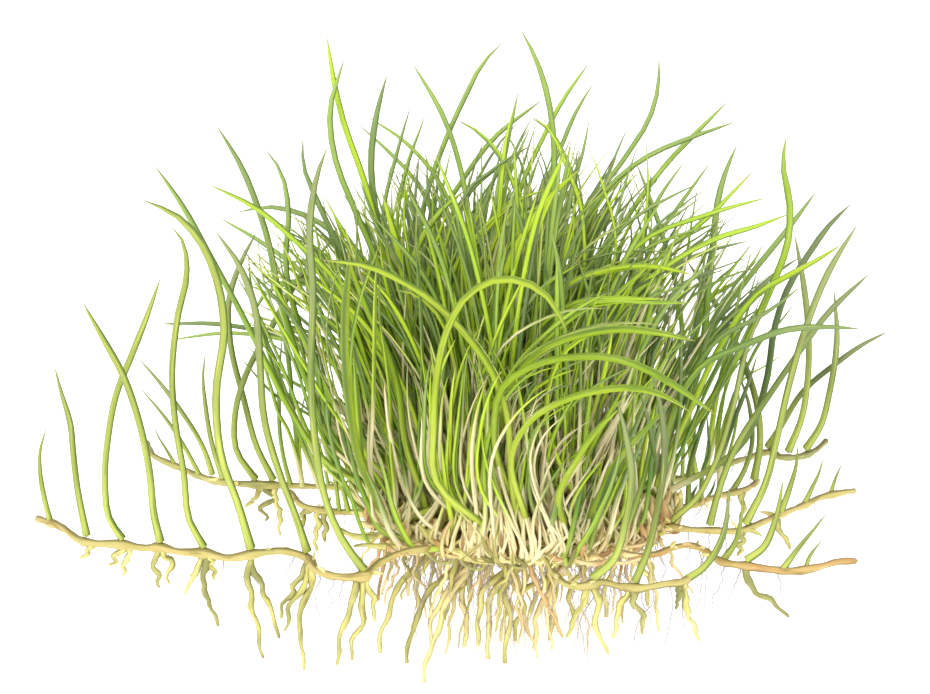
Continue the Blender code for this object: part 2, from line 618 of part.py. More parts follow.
def clear_shift(thicket, foot, width, tip_depth, route, steps):
    """How far a traced stem's tip moves in depth so that the stem clears what stands already."""
    best, best_room = 0, -10.0
    for shift in DEPTH_SHIFTS:
        path = smooth(traced(foot, route, tip_depth + shift), steps)
        room = thicket.room(path, width / 2)
        if room > best_room:
            best, best_room = shift, room
        if room >= CLEAR:
            break
    return best


def clear_path(thicket, foot, width, tip_depth, route, steps):
    """A traced stem that clears what stands already."""
    shift = clear_shift(thicket, foot, width, tip_depth, route, steps)
    return smooth(traced(foot, route, tip_depth + shift), steps)


def inside(pixel, outline):
    """Whether a pixel is inside an outline."""
    u, v = pixel
    within = False
    for (u1, v1), (u2, v2) in zip(outline, outline[1:] + outline[:1]):
        if (v1 > v) != (v2 > v) and u < u1 + (v - v1) * (u2 - u1) / (v2 - v1):
            within = not within
    return within


def plain_stem(draw, foot, steps):
    """A stem that leans out from the middle of the crown and bends over towards its tip."""
    out_x = foot[0] - CROWN_CENTRE[0]
    out_y = foot[1] - CROWN_CENTRE[1]
    reach = math.hypot(out_x / CROWN_RADIUS[0], out_y / CROWN_RADIUS[1])
    bearing = math.atan2(out_y, out_x) + draw.gauss(0, 0.8)
    lean = math.radians(draw.uniform(2, 10) + draw.uniform(6, 24) * reach)
    bend = math.radians(draw.uniform(0, 50))
    length = draw.uniform(40, 74)
    path = [np.array(foot, float)]
    for i in range(steps):
        share = (i + 0.5) / steps
        tilt = lean * (0.4 + 0.6 * share) + bend * share**2
        step = np.array((
            math.sin(tilt) * math.cos(bearing), math.sin(tilt) * math.sin(bearing), math.cos(tilt)))
        path.append(path[-1] + step * length / steps)
    return np.array(path)


def clear_plain_stem(thicket, draw, foot, width):
    """A plain stem inside the clump's outline that clears what stands already."""
    best, best_room = None, -10.0
    for _ in range(300):
        path = plain_stem(draw, foot, PLAIN_STEPS)
        if not all(inside(pixel_of(point), CLUMP_OUTLINE) for point in path[2:]):
            continue
        room = thicket.room(path, width / 2)
        if room > best_room:
            best, best_room = path, room
        if room >= CLEAR:
            break
    return best


def runner_path(runner, crown_tree):
    """A runner's points, level with the crown and gently waved, from just outside the crown."""
    points = []
    for i, pixel in enumerate(runner.route):
        points.append(seen_at_height(pixel, RUNNER_HEIGHT + 0.5 * math.sin(1.7 * i)))
    fine = smooth(points, 150)
    start = 0
    for i, point in enumerate(fine[:75]):
        if crown_tree.find_nearest(Vector(point) * MM)[3] / MM < runner.width / 2 + GAP + 0.2:
            start = i + 1
    return smooth(fine[start:], len(runner.route) - 1)


def nearest_on(path, pixel):
    """The point of a path that is seen nearest to a pixel."""
    beads = Thicket.beads(path)
    return min(beads, key=lambda bead: np.linalg.norm(pixel_of(bead) - pixel))


def root_path(top, route, steps):
    """A hanging root: it keeps the depth of what it grows from."""
    points = [top] + [seen_at(pixel, top[1]) for pixel in route]
    return smooth(points, steps)


def standing_root(top, route):
    """A root that reaches the surface and ends on it, square to it."""
    tip = seen_at_height(route[-1], 0)
    above = tip + np.array((0, 0, 2.5))
    middle = [seen_at(pixel, top[1] + (tip[1] - top[1]) * share)
              for pixel, share in zip(route[:-1], (0.4, 0.75))]
    path = smooth([top, *middle, above], 5)
    return np.vstack((path, tip))


def build_runner(name, runner, paths, thicket, profiles, homes, look):
    """A runner with its small roots and its shortest shoots, one solid."""
    path = paths[name]
    radius = runner.width / 2
    base = tube(name, path, np.full(len(path), radius), profiles[5], homes["plant"])
    lines = [(path, radius)]
    pieces = []
    for i, shoot in enumerate(runner.shoots, 1):
        foot = nearest_on(path, shoot.foot)
        stem = smooth(traced(foot, shoot.route, shoot.tip_depth), 4)
        pieces.append(tube(f"{name}_shoot_{i}", stem, stem_radii(shoot.width, len(stem)), profiles[4],
                           homes["cutters"]))
        lines.append((stem, shoot.width / 2))
    for i, route in enumerate(runner.roots, 1):
        top = nearest_on(path, route[0])
        root = root_path(top, route[1:], max(3, len(route) - 1))
        radii = ROOT_WIDTH / 2 * np.linspace(1, 0.55, len(root))
        pieces.append(tube(f"{name}_root_{i}", root, radii, profiles[3], homes["cutters"]))
        lines.append((root, ROOT_WIDTH / 2))
    join(base, pieces, homes["cutters"])
    base.data.materials.append(look)
    thicket.add(lines)


def build_shoot(name, runner_name, shoot, paths, thicket, profiles, homes, look):
    """One stem on a runner, its foot just clear of it."""
    runner = RUNNERS[runner_name]
    foot = nearest_on(paths[runner_name], shoot.foot) + np.array((0, 0, runner.width / 2 + GAP + 0.15))
    steps = BENT_STEPS if len(shoot.route) >= BENT_STEMS_FROM else SHOOT_STEPS
    path = clear_path(thicket, foot, shoot.width, shoot.tip_depth, shoot.route, steps)
    made = tube(name, path, stem_radii(shoot.width, len(path)), profiles[4], homes["plant"])
    made.data.materials.append(look)
    thicket.add([(path, shoot.width / 2)])


def order_round(tuft):
    """A tuft's stems in the order of their bearings, with None for each plain one, spread between them."""
    traced_stems = sorted(tuft.blades, key=lambda blade: bearing_of(tuft, blade))
    order = list(traced_stems)
    for i in range(tuft.plain):
        order.insert(i * (len(order) + 1) // tuft.plain, None)
    return order


def bearing_of(tuft, blade):
    """The bearing in plan of a blade's middle from its tuft's foot."""
    middle = seen_at(blade.route[len(blade.route) * 2 // 3], (tuft.foot[1] + blade.tip_depth) / 2)
    return math.atan2(middle[1] - tuft.foot[1], middle[0] - tuft.foot[0])


def turns_round(tuft):
    """Even turns round the foot, begun at the first traced stem's own bearing."""
    order = order_round(tuft)
    count = len(order)
    first = next((i for i, blade in enumerate(order) if blade), 0)
    start = bearing_of(tuft, order[first]) if tuft.blades else 0.7
    return [start + 2 * math.pi * (i - first) / count for i in range(count)]


def build_tuft(name, tuft, crown_tree, draw, thicket, profiles, homes, look):
    """A bundle of stems fused at a sheath that sits on the crown."""
    x, y = tuft.foot
    floor = crown_face(crown_tree, tuft.foot, 1) + GAP
    base = lump(name, (x, y, floor + SHEATH_HEIGHT / 2), SHEATH_RADIUS, SHEATH_HEIGHT, homes["plant"])
    lines = []
    pieces = []
    for i, (blade, turn) in enumerate(zip(order_round(tuft), turns_round(tuft))):
        foot = np.array((
            x + FOOT_SPREAD * math.cos(turn), y + FOOT_SPREAD * math.sin(turn), floor + SHEATH_HEIGHT * 0.45))
        if blade:
            width = blade.width
            steps = BENT_STEPS if len(blade.route) >= BENT_STEMS_FROM else STEM_STEPS
            path = clear_path(thicket, foot, width, blade.tip_depth, blade.route, steps)
        else:
            width = 0.8
            path = clear_plain_stem(thicket, draw, foot, width)
        profile = profiles[4] if width >= 1.2 else profiles[3]
        radii = stem_radii(width, len(path))
        pieces.append(tube(f"{name}_stem_{i + 1}", path, radii, profile, homes["cutters"]))
        lines.append((path, width / 2))
        thicket.add(lines[-1:], start=FOOT_BEADS)
    join(base, pieces, homes["cutters"])
    base.data.materials.append(look)
    thicket.add(lines, stop=FOOT_BEADS)


def build_roots(name, bundle, crown_tree, thicket, profiles, homes, look):
    """A bundle of roots fused at a knob under the crown."""
    x, y = bundle.place
    ceiling = crown_face(crown_tree, bundle.place, -1) - GAP
    centre = np.array((x, y, ceiling - KNOB_HEIGHT / 2))
    base = lump(name, centre, KNOB_RADIUS, KNOB_HEIGHT, homes["plant"])
    pieces = []
    lines = []
    count = len(bundle.standing) + len(bundle.hanging)
    for i in range(count):
        turn = 2 * math.pi * i / count
        top = centre + np.array((0.9 * math.cos(turn), 0.9 * math.sin(turn), -0.2))
        if i < len(bundle.standing):
            path = standing_root(top, bundle.standing[i])
        else:
            path = root_path(top, bundle.hanging[i - len(bundle.standing)], 4)
        radii = np.full(len(path), ROOT_WIDTH / 2)
        pieces.append(tube(f"{name}_root_{i + 1}", path, radii, profiles[4], homes["cutters"]))
        lines.append((path, ROOT_WIDTH / 2))
    join(base, pieces, homes["cutters"])
    base.data.materials.append(look)
    thicket.add(lines)


def main():
    for old in list(bpy.data.objects):
        bpy.data.objects.remove(old)
    homes = {"plant": collection("dwarf_hairgrass"), "cutters": collection("cutters")}
    profiles = {sides: section(sides, homes["cutters"]) for sides in (3, 4, 5)}
    green = material("stem_green", (0.22, 0.38, 0.06), 0.5)
    tan = material("runner_tan", (0.56, 0.44, 0.14), 0.6)
    cream = material("root_cream", (0.66, 0.56, 0.24), 0.7)
    brown = material("crown_straw", (0.60, 0.46, 0.20), 0.8)

    mesh, crown_tree = crown_mesh()
    crown = bpy.data.objects.new("crown", mesh)
    homes["plant"].objects.link(crown)
    mesh.materials.append(brown)

    draw = random.Random(7)
    thicket = Thicket()
    paths = {name: runner_path(runner, crown_tree) for name, runner in RUNNERS.items()}
    for name, runner in RUNNERS.items():
        build_runner(name, runner, paths, thicket, profiles, homes, tan)
    for name, bundle in ROOTS.items():
        build_roots(name, bundle, crown_tree, thicket, profiles, homes, cream)
    for name, (runner_name, shoot) in SHOOTS.items():
        build_shoot(name, runner_name, shoot, paths, thicket, profiles, homes, green)
    for name, tuft in TUFTS.items():
        build_tuft(name, tuft, crown_tree, draw, thicket, profiles, homes, green)


main()
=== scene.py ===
"""The looks of the dwarf hairgrass: fine stems, runners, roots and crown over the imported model.

Millimetres in the lists and paths, metres in the meshes. The routes are those of the model's own source, so
each fine piece lies along the solid that it stands for.
"""
import math
import random
from collections import namedtuple

import bmesh
import bpy
import numpy as np
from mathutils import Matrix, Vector
from mathutils.bvhtree import BVHTree
from mathutils.kdtree import KDTree


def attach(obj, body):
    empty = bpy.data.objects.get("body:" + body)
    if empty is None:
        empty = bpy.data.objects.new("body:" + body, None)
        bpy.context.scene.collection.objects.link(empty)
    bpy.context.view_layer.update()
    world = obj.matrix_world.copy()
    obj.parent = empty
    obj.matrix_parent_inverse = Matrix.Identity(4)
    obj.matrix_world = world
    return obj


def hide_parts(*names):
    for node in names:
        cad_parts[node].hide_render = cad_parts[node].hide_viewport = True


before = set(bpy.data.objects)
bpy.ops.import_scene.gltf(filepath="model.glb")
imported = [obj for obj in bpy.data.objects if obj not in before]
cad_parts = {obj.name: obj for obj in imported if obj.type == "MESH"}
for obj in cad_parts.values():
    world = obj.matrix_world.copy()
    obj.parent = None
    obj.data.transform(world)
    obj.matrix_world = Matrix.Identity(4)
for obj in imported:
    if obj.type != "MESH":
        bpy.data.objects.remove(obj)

MM = 0.001
GAP = 0.3

# The viewpoint of the picture: a 100 mm lens over a frame 36 mm wide, looking 15 degrees down.
PICTURE_WIDTH = 930
PICTURE_HEIGHT = 694
PIXEL_STEP = 36 / 100 / PICTURE_WIDTH
VIEW_TILT = math.radians(15)
VIEW_TARGET = np.array((-2.6, 0.0, 47.0))
VIEW_DISTANCE = 405.0
VIEW_BACK = np.array((0.0, -math.cos(VIEW_TILT), math.sin(VIEW_TILT)))
EYE = VIEW_TARGET + VIEW_DISTANCE * VIEW_BACK

# The crown, a flat mat, narrower below.
CROWN_CENTRE = (6.5, -2.0, 20.5)
CROWN_RADIUS = (23.5, 21.5)

# A stem's foot in its sheath, and the sheath itself.
SHEATH_HEIGHT = 3.4
FOOT_SPREAD = 1.1

# The knob that a bundle of roots hangs from.
KNOB_HEIGHT = 2.6
RUNNER_HEIGHT = 20.5
ROOT_WIDTH = 0.9

# How many straight steps each kind of stem has. A route of many pixels gets the most.
STEM_STEPS = 5
SHOOT_STEPS = 6
BENT_STEMS_FROM = 8
BENT_STEPS = 8
PLAIN_STEPS = 4

# How stems keep clear of one another: the gap sought past the first beads of the foot, and the shifts in
# depth tried for it.
FOOT_BEADS = 6
CLEAR = 0.5
DEPTH_SHIFTS = (0, 1, -1, 2, -2, 3, -3, 4, -4, 5.5, -5.5, 7, -7, 9, -9, 11, -11)
Blade = namedtuple("Blade", "width tip_depth route")
Tuft = namedtuple("Tuft", "foot plain blades")
Shoot = namedtuple("Shoot", "width tip_depth foot route")
Runner = namedtuple("Runner", "width route shoots roots")
RootBundle = namedtuple("RootBundle", "place standing hanging")

TUFTS = {
    "tuft_back_left": Tuft((-3.2, 13.5), 1, (
        Blade(1.1, 26, ((412, 385), (398, 312), (387, 262), (375, 207), (371, 165), (378, 108), (387, 75))),
        Blade(0.7, 31, ((406, 360), (391, 285), (383, 215), (395, 160), (410, 108))),
        Blade(0.7, 36, ((422, 375), (408, 300), (397, 222), (406, 170), (425, 116))),
    )),
    "tuft_back_middle_left": Tuft((2.8, 14.3), 0, (
        Blade(0.7, 30, ((450, 370), (449, 295), (437, 226), (417, 183), (389, 152), (359, 125))),
        Blade(0.7, 35, ((470, 380), (473, 305), (461, 232), (434, 174), (404, 141), (368, 117))),
        Blade(0.9, 40, ((466, 410), (472, 325), (471, 235), (462, 175), (444, 118), (413, 64))),
        Blade(0.9, 46, ((440, 400), (420, 280), (424, 205), (442, 149), (466, 95), (483, 63), (502, 43))),
    )),
    "tuft_back_middle": Tuft((8.8, 14.8), 0, (
        Blade(0.9, 44, ((455, 390), (432, 305), (434, 228), (460, 184), (493, 139), (542, 100))),
        Blade(0.7, 42, ((470, 380), (453, 315), (452, 250), (466, 197), (494, 170), (530, 146))),
        Blade(0.9, 34, ((490, 355), (490, 280), (496, 203), (505, 153), (518, 93))),
        Blade(0.7, 46, ((500, 310), (498, 245), (507, 182), (530, 128))),
    )),
    "tuft_back_middle_right": Tuft((14.8, 13.9), 0, (
        Blade(1.0, 26, ((524, 400), (531, 325), (543, 262), (553, 187), (554, 145), (535, 57), (521, 30))),
        Blade(0.8, 30, ((530, 350), (529, 272), (520, 203), (500, 157), (472, 128), (460, 122))),
        Blade(0.8, 44, ((515, 335), (508, 250), (521, 187), (541, 142), (563, 100), (589, 63))),
        Blade(0.8, 50, ((525, 345), (523, 272), (538, 202), (559, 152), (578, 108), (593, 84))),
        Blade(0.7, 40, ((520, 320), (518, 240), (531, 180), (541, 152))),
    )),
    "tuft_back_right": Tuft((20.9, 11.8), 0, (
        Blade(0.7, 36, ((565, 370), (551, 258), (569, 195), (583, 152), (589, 121))),
        Blade(0.8, 28, ((585, 340), (585, 270), (580, 203), (566, 159), (552, 133), (532, 118))),
        Blade(0.6, 44, ((578, 335), (582, 260), (600, 197), (616, 154), (627, 129))),
        Blade(0.9, 50, ((572, 360), (568, 275), (589, 210), (626, 156), (650, 117), (658, 88), (659, 58))),
    )),
    "tuft_left_back": Tuft((-11.0, 4.9), 0, (
        Blade(0.8, 24, ((374, 436), (364, 376), (340, 315), (305, 275), (264, 244), (220, 218))),
        Blade(0.9, 14, ((370, 445), (355, 392), (332, 360), (303, 341), (262, 331), (218, 324), (160, 324))),
        Blade(0.7, 22, ((364, 430), (340, 372), (308, 347), (270, 337), (230, 333), (170, 340))),
        Blade(0.6, 14, ((358, 440), (338, 402), (310, 391), (270, 367), (247, 346))),
        Blade(0.6, 7, ((352, 470), (336, 440), (315, 419), (275, 395), (240, 357))),
    )),
    "tuft_left_middle": Tuft((-4.1, 4.9), 0, (
        Blade(0.9, 2, ((405, 405), (388, 345), (362, 280), (337, 242), (317, 200), (303, 163), (303, 138))),
        Blade(1.0, 8, ((420, 425), (404, 345), (390, 280), (363, 177), (343, 120), (334, 82), (327, 37))),
        Blade(1.0, 14, ((422, 425), (408, 355), (376, 258), (354, 208), (335, 158), (330, 110), (344, 60))),
    )),
    "tuft_middle_back": Tuft((3.7, 5.7), 0, (
        Blade(1.3, -2, ((460, 440), (425, 370), (408, 300), (398, 248), (390, 220), (382, 192))),
        Blade(1.0, 14, ((450, 385), (438, 320), (454, 270), (486, 227), (520, 199), (545, 190))),
        Blade(1.1, 10, ((446, 410), (415, 330), (408, 280), (420, 242), (440, 212), (465, 190))),
    )),
    "tuft_middle_right_back": Tuft((11.4, 5.7), 1, (
        Blade(1.3, -4, ((515, 400), (497, 330), (512, 256), (535, 217), (560, 187), (579, 170))),
        Blade(1.1, -12, ((530, 400), (543, 318), (564, 288), (594, 274), (627, 267), (660, 267), (693, 275))),
        Blade(0.9, 32, ((556, 380), (571, 290), (585, 224), (614, 182), (650, 155), (687, 139), (735, 122))),
    )),
    "tuft_right_back": Tuft((18.3, 4.9), 0, (
        Blade(0.9, 40, ((580, 380), (590, 300), (610, 246), (639, 200), (669, 161), (699, 130), (727, 102))),
        Blade(0.8, 20, ((605, 370), (630, 300), (667, 250), (704, 221), (735, 190), (753, 171))),
        Blade(0.8, 12, ((593, 360), (610, 280), (649, 237), (700, 217), (735, 206), (766, 198))),
        Blade(0.7, 34, ((600, 350), (632, 260), (645, 227), (659, 198), (684, 162))),
        Blade(0.7, 28, ((612, 350), (636, 280), (660, 233), (686, 196), (710, 163))),
    )),
    "tuft_right_outer": Tuft((25.2, 4.0), 0, (
        Blade(1.1, 26, ((670, 420), (702, 345), (709, 282), (713, 246), (719, 195), (727, 168), (737, 145))),
        Blade(0.8, 32, ((662, 420), (682, 345), (677, 290), (664, 240), (647, 190), (636, 162))),
        Blade(1.2, 20, ((690, 430), (735, 360), (771, 288), (788, 241), (790, 207), (783, 161), (786, 137))),
        Blade(1.0, 36, ((680, 400), (714, 326), (749, 277), (787, 230), (816, 192))),
    )),
    "tuft_left_outer": Tuft((-13.5, -3.7), 1, (
        Blade(1.0, -18, ((330, 465), (290, 410), (265, 360), (238, 307), (214, 263), (177, 197), (155, 166))),
        Blade(1.0, -8, ((340, 455), (310, 390), (277, 285), (268, 240), (258, 208), (242, 168), (217, 126))),
        Blade(0.7, -12, ((335, 440), (308, 340), (279, 302), (246, 267))),
    )),
    "tuft_left_inner": Tuft((-6.7, -3.7), 0, (
        Blade(0.9, -6, ((385, 430), (366, 360), (328, 271), (300, 245), (256, 208), (210, 185))),
        Blade(0.9, 6, ((398, 420), (388, 330), (371, 280), (350, 249), (313, 219), (270, 207), (238, 212))),
        Blade(0.9, 10, ((394, 410), (378, 347), (350, 295), (322, 283), (290, 282), (265, 294), (251, 320))),
        Blade(0.9, 3, ((385, 440), (340, 410), (300, 327), (286, 268), (288, 205), (280, 170), (266, 150))),
    )),
    "tuft_middle": Tuft((0.2, -4.6), 4, ()),
    "tuft_middle_front": Tuft((7.1, -2.9), 3, (
        Blade(0.9, -10, ((490, 400), (489, 365), (491, 335), (496, 288), (503, 262))),
    )),
    "tuft_middle_right": Tuft((14.0, -3.7), 2, (
        Blade(0.9, -26, ((540, 400), (550, 330), (576, 306), (610, 300), (652, 302), (690, 303))),
        Blade(0.7, -2, ((600, 400), (630, 340), (668, 298), (699, 276), (722, 271))),
    )),
    "tuft_right_inner": Tuft((20.9, -3.7), 2, (
        Blade(0.9, 6, ((615, 380), (638, 290), (677, 259), (715, 239), (760, 225), (789, 214))),
        Blade(0.8, 16, ((620, 360), (646, 282), (686, 260), (712, 250), (748, 241))),
    )),
    "tuft_right_end": Tuft((27.7, -2.9), 0, (
        Blade(1.0, 18, ((690, 410), (722, 343), (757, 295), (793, 273), (817, 260), (841, 245))),
        Blade(0.9, 12, ((684, 400), (722, 329), (750, 297), (780, 270), (799, 258))),
        Blade(0.8, 6, ((680, 400), (722, 336), (759, 317), (780, 303), (800, 287))),
        Blade(1.1, -4, ((670, 420), (704, 364), (745, 345), (785, 330), (830, 327), (860, 329))),
        Blade(1.1, 28, ((745, 440), (767, 378), (775, 326), (788, 288), (808, 255), (832, 222), (851, 204))),
    )),
    "tuft_front_left": Tuft((-7.5, -11.5), 1, (
        Blade(1.1, -16, ((405, 440), (398, 388), (385, 347), (367, 309), (354, 275), (347, 250))),
        Blade(1.3, -28, ((388, 520), (373, 490), (361, 465), (352, 422), (346, 372), (345, 315), (350, 252))),
    )),
    "tuft_front_inner": Tuft((4.5, -11.5), 2, (
        Blade(1.1, -34, ((505, 400), (538, 353), (585, 334), (620, 329), (660, 333), (695, 341))),
    )),
    "tuft_front_right": Tuft((12.3, -12.3), 2, (
        Blade(0.8, -24, ((605, 500), (616, 470), (634, 430), (650, 392))),
        Blade(0.8, -27, ((575, 500), (588, 455), (603, 425), (625, 385))),
    )),
    "tuft_front_right_outer": Tuft((20.0, -10.6), 2, (
        Blade(0.8, -20, ((651, 480), (651, 435), (640, 392))),
        Blade(0.8, -14, ((618, 485), (621, 440), (612, 395))),
    )),
    "tuft_front_edge_left": Tuft((0.2, -19.2), 1, (
        Blade(1.1, -38, ((436, 480), (434, 425), (437, 375), (448, 328), (467, 296), (495, 280), (525, 282),
                         (549, 298), (567, 332))),
    )),
    "tuft_front_edge": Tuft((6.2, -19.2), 0, (
        Blade(1.1, -32, ((510, 455), (508, 420), (494, 376), (466, 335), (430, 299), (400, 280), (368, 266),
                         (323, 260))),
        Blade(1.1, -44, ((494, 435), (505, 384), (535, 365), (573, 357), (612, 358), (646, 369), (677, 387),
                         (716, 415))),
        Blade(1.0, -50, ((513, 450), (533, 418), (565, 400), (602, 390), (642, 389), (676, 402), (690, 412))),
    )),
    "tuft_front_edge_right": Tuft((12.3, -19.2), 0, (
        Blade(1.1, -38, ((559, 508), (578, 458), (596, 431), (618, 410))),
        Blade(1.0, -30, ((580, 526), (597, 500), (618, 460), (645, 430), (668, 405))),
    )),
}

RUNNERS = {
    "runner_left_front": Runner(1.15, (
        (438, 546), (418, 550), (396, 554), (376, 566), (355, 578), (332, 576), (315, 568), (300, 554),
        (284, 551), (252, 554), (220, 558), (200, 552), (165, 551), (155, 545), (137, 549), (122, 545),
        (104, 543), (86, 543), (75, 537), (63, 528), (48, 522), (38, 519),
    ), (
        Shoot(0.8, -4, (51, 521), ((46, 505), (40, 470), (40, 452), (46, 429))),
    ), (
        ((91, 547), (88, 552), (81, 558)),
        ((122, 549), (117, 557), (110, 565)),
        ((125, 549), (127, 558), (123, 575)),
        ((160, 555), (155, 567), (159, 587)),
        ((163, 556), (169, 564), (169, 583)),
        ((203, 558), (194, 575), (185, 593)),
        ((206, 560), (203, 574), (206, 592), (218, 625)),
        ((209, 560), (213, 568), (214, 579)),
        ((250, 558), (249, 577), (252, 605), (263, 657)),
        ((254, 558), (256, 579), (268, 600), (279, 637)),
        ((304, 564), (298, 582), (286, 599), (281, 617)),
        ((307, 566), (303, 583), (293, 605), (285, 630)),
        ((309, 567), (311, 585), (301, 610), (304, 669)),
        ((357, 580), (353, 598), (343, 628), (337, 664)),
        ((361, 580), (364, 600), (357, 628), (352, 659)),
        ((365, 579), (372, 597), (375, 620)),
    )),
    "runner_left_back": Runner(1.0, (
        (386, 494), (358, 490), (330, 487), (300, 486), (270, 485), (228, 483), (202, 477), (180, 468),
        (162, 461), (152, 452), (147, 443),
    ), (
        Shoot(0.6, 26, (175, 465), ((166, 449), (158, 436), (154, 425))),
        Shoot(0.7, 22, (199, 475), ((181, 441), (163, 415), (141, 389))),
        Shoot(0.8, 18, (223, 481), ((213, 448), (205, 402), (203, 378), (205, 355))),
    ), (
        ((268, 489), (267, 505), (266, 520)),
        ((271, 489), (278, 508), (280, 535)),
        ((264, 489), (256, 497), (246, 506)),
    )),
    "runner_front": Runner(1.0, (
        (540, 546), (547, 560), (556, 575), (566, 584), (580, 587), (596, 583), (612, 583), (632, 590),
        (652, 585), (676, 584), (690, 577),
    ), (
        Shoot(1.0, -24, (686, 579), ((702, 569), (715, 553), (725, 528), (728, 505), (729, 488))),
    ), (
        ((590, 588), (583, 600), (577, 615), (567, 637)),
        ((593, 587), (599, 603), (595, 622), (608, 653)),
        ((631, 592), (621, 606), (613, 637)),
        ((636, 592), (635, 605), (642, 614), (642, 633)),
        ((677, 587), (679, 597), (676, 608)),
        ((681, 586), (687, 604), (691, 622), (699, 640)),
    )),
    "runner_right_front": Runner(1.0, (
        (592, 541), (612, 549), (632, 555), (650, 556), (665, 550), (682, 546), (700, 547), (712, 556),
        (730, 564), (755, 567), (785, 571), (808, 570), (830, 563), (855, 561),
    ), (
        Shoot(0.9, -24, (723, 561), ((735, 543), (741, 520), (743, 496))),
        Shoot(0.8, -24, (784, 571), ((797, 550), (815, 528), (826, 514))),
        Shoot(0.8, -26, (804, 570), ((809, 558), (822, 540))),
    ), (
        ((744, 567), (749, 584), (757, 594), (771, 599), (780, 609), (788, 616)),
    )),
    "runner_right": Runner(1.0, (
        (652, 520), (675, 528), (705, 530), (745, 530), (765, 521), (782, 514), (802, 506), (816, 501),
        (828, 492), (840, 493), (854, 491),
    ), (
        Shoot(0.9, 4, (779, 514), ((790, 487), (796, 466), (798, 446))),
        Shoot(0.8, 8, (804, 505), ((811, 490), (819, 473), (823, 459))),
        Shoot(0.7, 12, (830, 492), ((836, 477), (842, 464))),
    ), (
        ((740, 533), (742, 545), (738, 555)),
        ((778, 518), (779, 530), (786, 539), (790, 548)),
    )),
    "runner_right_back": Runner(1.0, (
        (600, 487), (626, 486), (652, 483), (685, 478), (716, 470), (740, 460), (757, 456), (768, 450),
        (780, 457), (792, 457), (806, 455), (816, 450), (826, 441),
    ), (), ()),
    "runner_stub_left": Runner(1.0, (
        (392, 517), (374, 514), (356, 512), (335, 512), (318, 510), (306, 507), (297, 500), (290, 492),
    ), (), (
        ((318, 512), (316, 530), (317, 550)),
        ((326, 512), (325, 527), (325, 541)),
        ((310, 510), (303, 518), (299, 532)),
    )),
    "runner_stub_right": Runner(0.9, (
        (662, 507), (690, 507), (703, 502), (716, 496), (732, 494), (746, 489), (758, 481),
    ), (
        Shoot(0.8, 20, (733, 493), ((742, 475), (751, 450), (749, 405), (738, 372))),
    ), (
        ((742, 492), (743, 505), (741, 520)),
    )),
}

SHOOTS = {
    "shoot_left_front_2": ("runner_left_front", Shoot(1.0, -6, (88, 543), (
        (83, 518), (78, 492), (73, 450), (71, 428), (60, 388), (55, 368)))),
    "shoot_left_front_3": ("runner_left_front", Shoot(1.0, -18, (121, 545), (
        (110, 520), (105, 485), (108, 438), (117, 392), (131, 357), (150, 308), (160, 279)))),
    "shoot_left_front_4": ("runner_left_front", Shoot(1.1, -30, (160, 548), (
        (155, 520), (149, 468), (138, 418), (123, 375), (104, 340), (83, 303)))),
    "shoot_left_front_5": ("runner_left_front", Shoot(1.0, -20, (205, 554), (
        (190, 522), (184, 475), (175, 420), (172, 375), (178, 315), (187, 270), (182, 240), (172, 227)))),
    "shoot_left_front_6": ("runner_left_front", Shoot(1.2, -34, (252, 554), (
        (240, 510), (221, 455), (216, 395), (224, 325), (216, 277), (198, 238), (177, 216), (143, 200)))),
    "shoot_left_front_7": ("runner_left_front", Shoot(1.1, -24, (308, 558), (
        (297, 520), (279, 472), (264, 418), (260, 365), (255, 308), (239, 265), (216, 232)))),
    "shoot_left_front_8": ("runner_left_front", Shoot(1.1, -20, (361, 577), (
        (343, 541), (325, 498), (315, 440), (311, 375), (313, 290), (310, 220), (318, 172), (327, 148)))),
    "shoot_left_back_4": ("runner_left_back", Shoot(0.8, 26, (213, 480), (
        (205, 452), (179, 408), (155, 377), (140, 360)))),
    "shoot_left_back_5": ("runner_left_back", Shoot(1.0, 8, (254, 484), (
        (237, 452), (235, 415), (247, 372), (270, 330), (298, 280), (333, 239)))),
    "shoot_left_back_6": ("runner_left_back", Shoot(1.0, 14, (275, 485), (
        (258, 450), (244, 400), (230, 340), (229, 300), (241, 262), (256, 233)))),
    "shoot_front_1": ("runner_front", Shoot(1.1, -36, (592, 584), (
        (611, 563), (626, 520), (632, 480), (627, 440), (617, 400)))),
    "shoot_front_2": ("runner_front", Shoot(1.0, -28, (633, 589), (
        (648, 550), (658, 505), (664, 465), (662, 415), (652, 372)))),
    "shoot_right_front_2": ("runner_right_front", Shoot(1.0, -22, (745, 566), (
        (763, 548), (775, 521), (783, 481)))),
    "shoot_right_1": ("runner_right", Shoot(0.9, 2, (673, 528), (
        (695, 500), (714, 466), (731, 415), (748, 345), (762, 310)))),
    "shoot_right_2": ("runner_right", Shoot(1.0, 16, (711, 530), (
        (719, 490), (736, 447), (766, 400), (797, 355), (829, 312), (869, 274)))),
    "shoot_right_3": ("runner_right", Shoot(1.1, 6, (746, 530), (
        (765, 485), (777, 438), (789, 385), (805, 330), (829, 271), (857, 225)))),
    "shoot_right_back_1": ("runner_right_back", Shoot(1.0, 40, (768, 451), (
        (781, 426), (801, 394), (838, 362), (862, 345), (887, 332)))),
    "shoot_right_back_2": ("runner_right_back", Shoot(1.1, 34, (789, 457), (
        (801, 420), (808, 375), (808, 325), (803, 280), (795, 236)))),
    "shoot_right_back_3": ("runner_right_back", Shoot(1.1, 42, (806, 455), (
        (820, 427), (830, 390), (837, 335), (834, 291)))),
    "shoot_right_back_4": ("runner_stub_right", Shoot(1.1, 24, (753, 484), (
        (760, 445), (757, 405), (742, 358), (722, 315), (700, 280), (687, 261)))),
}

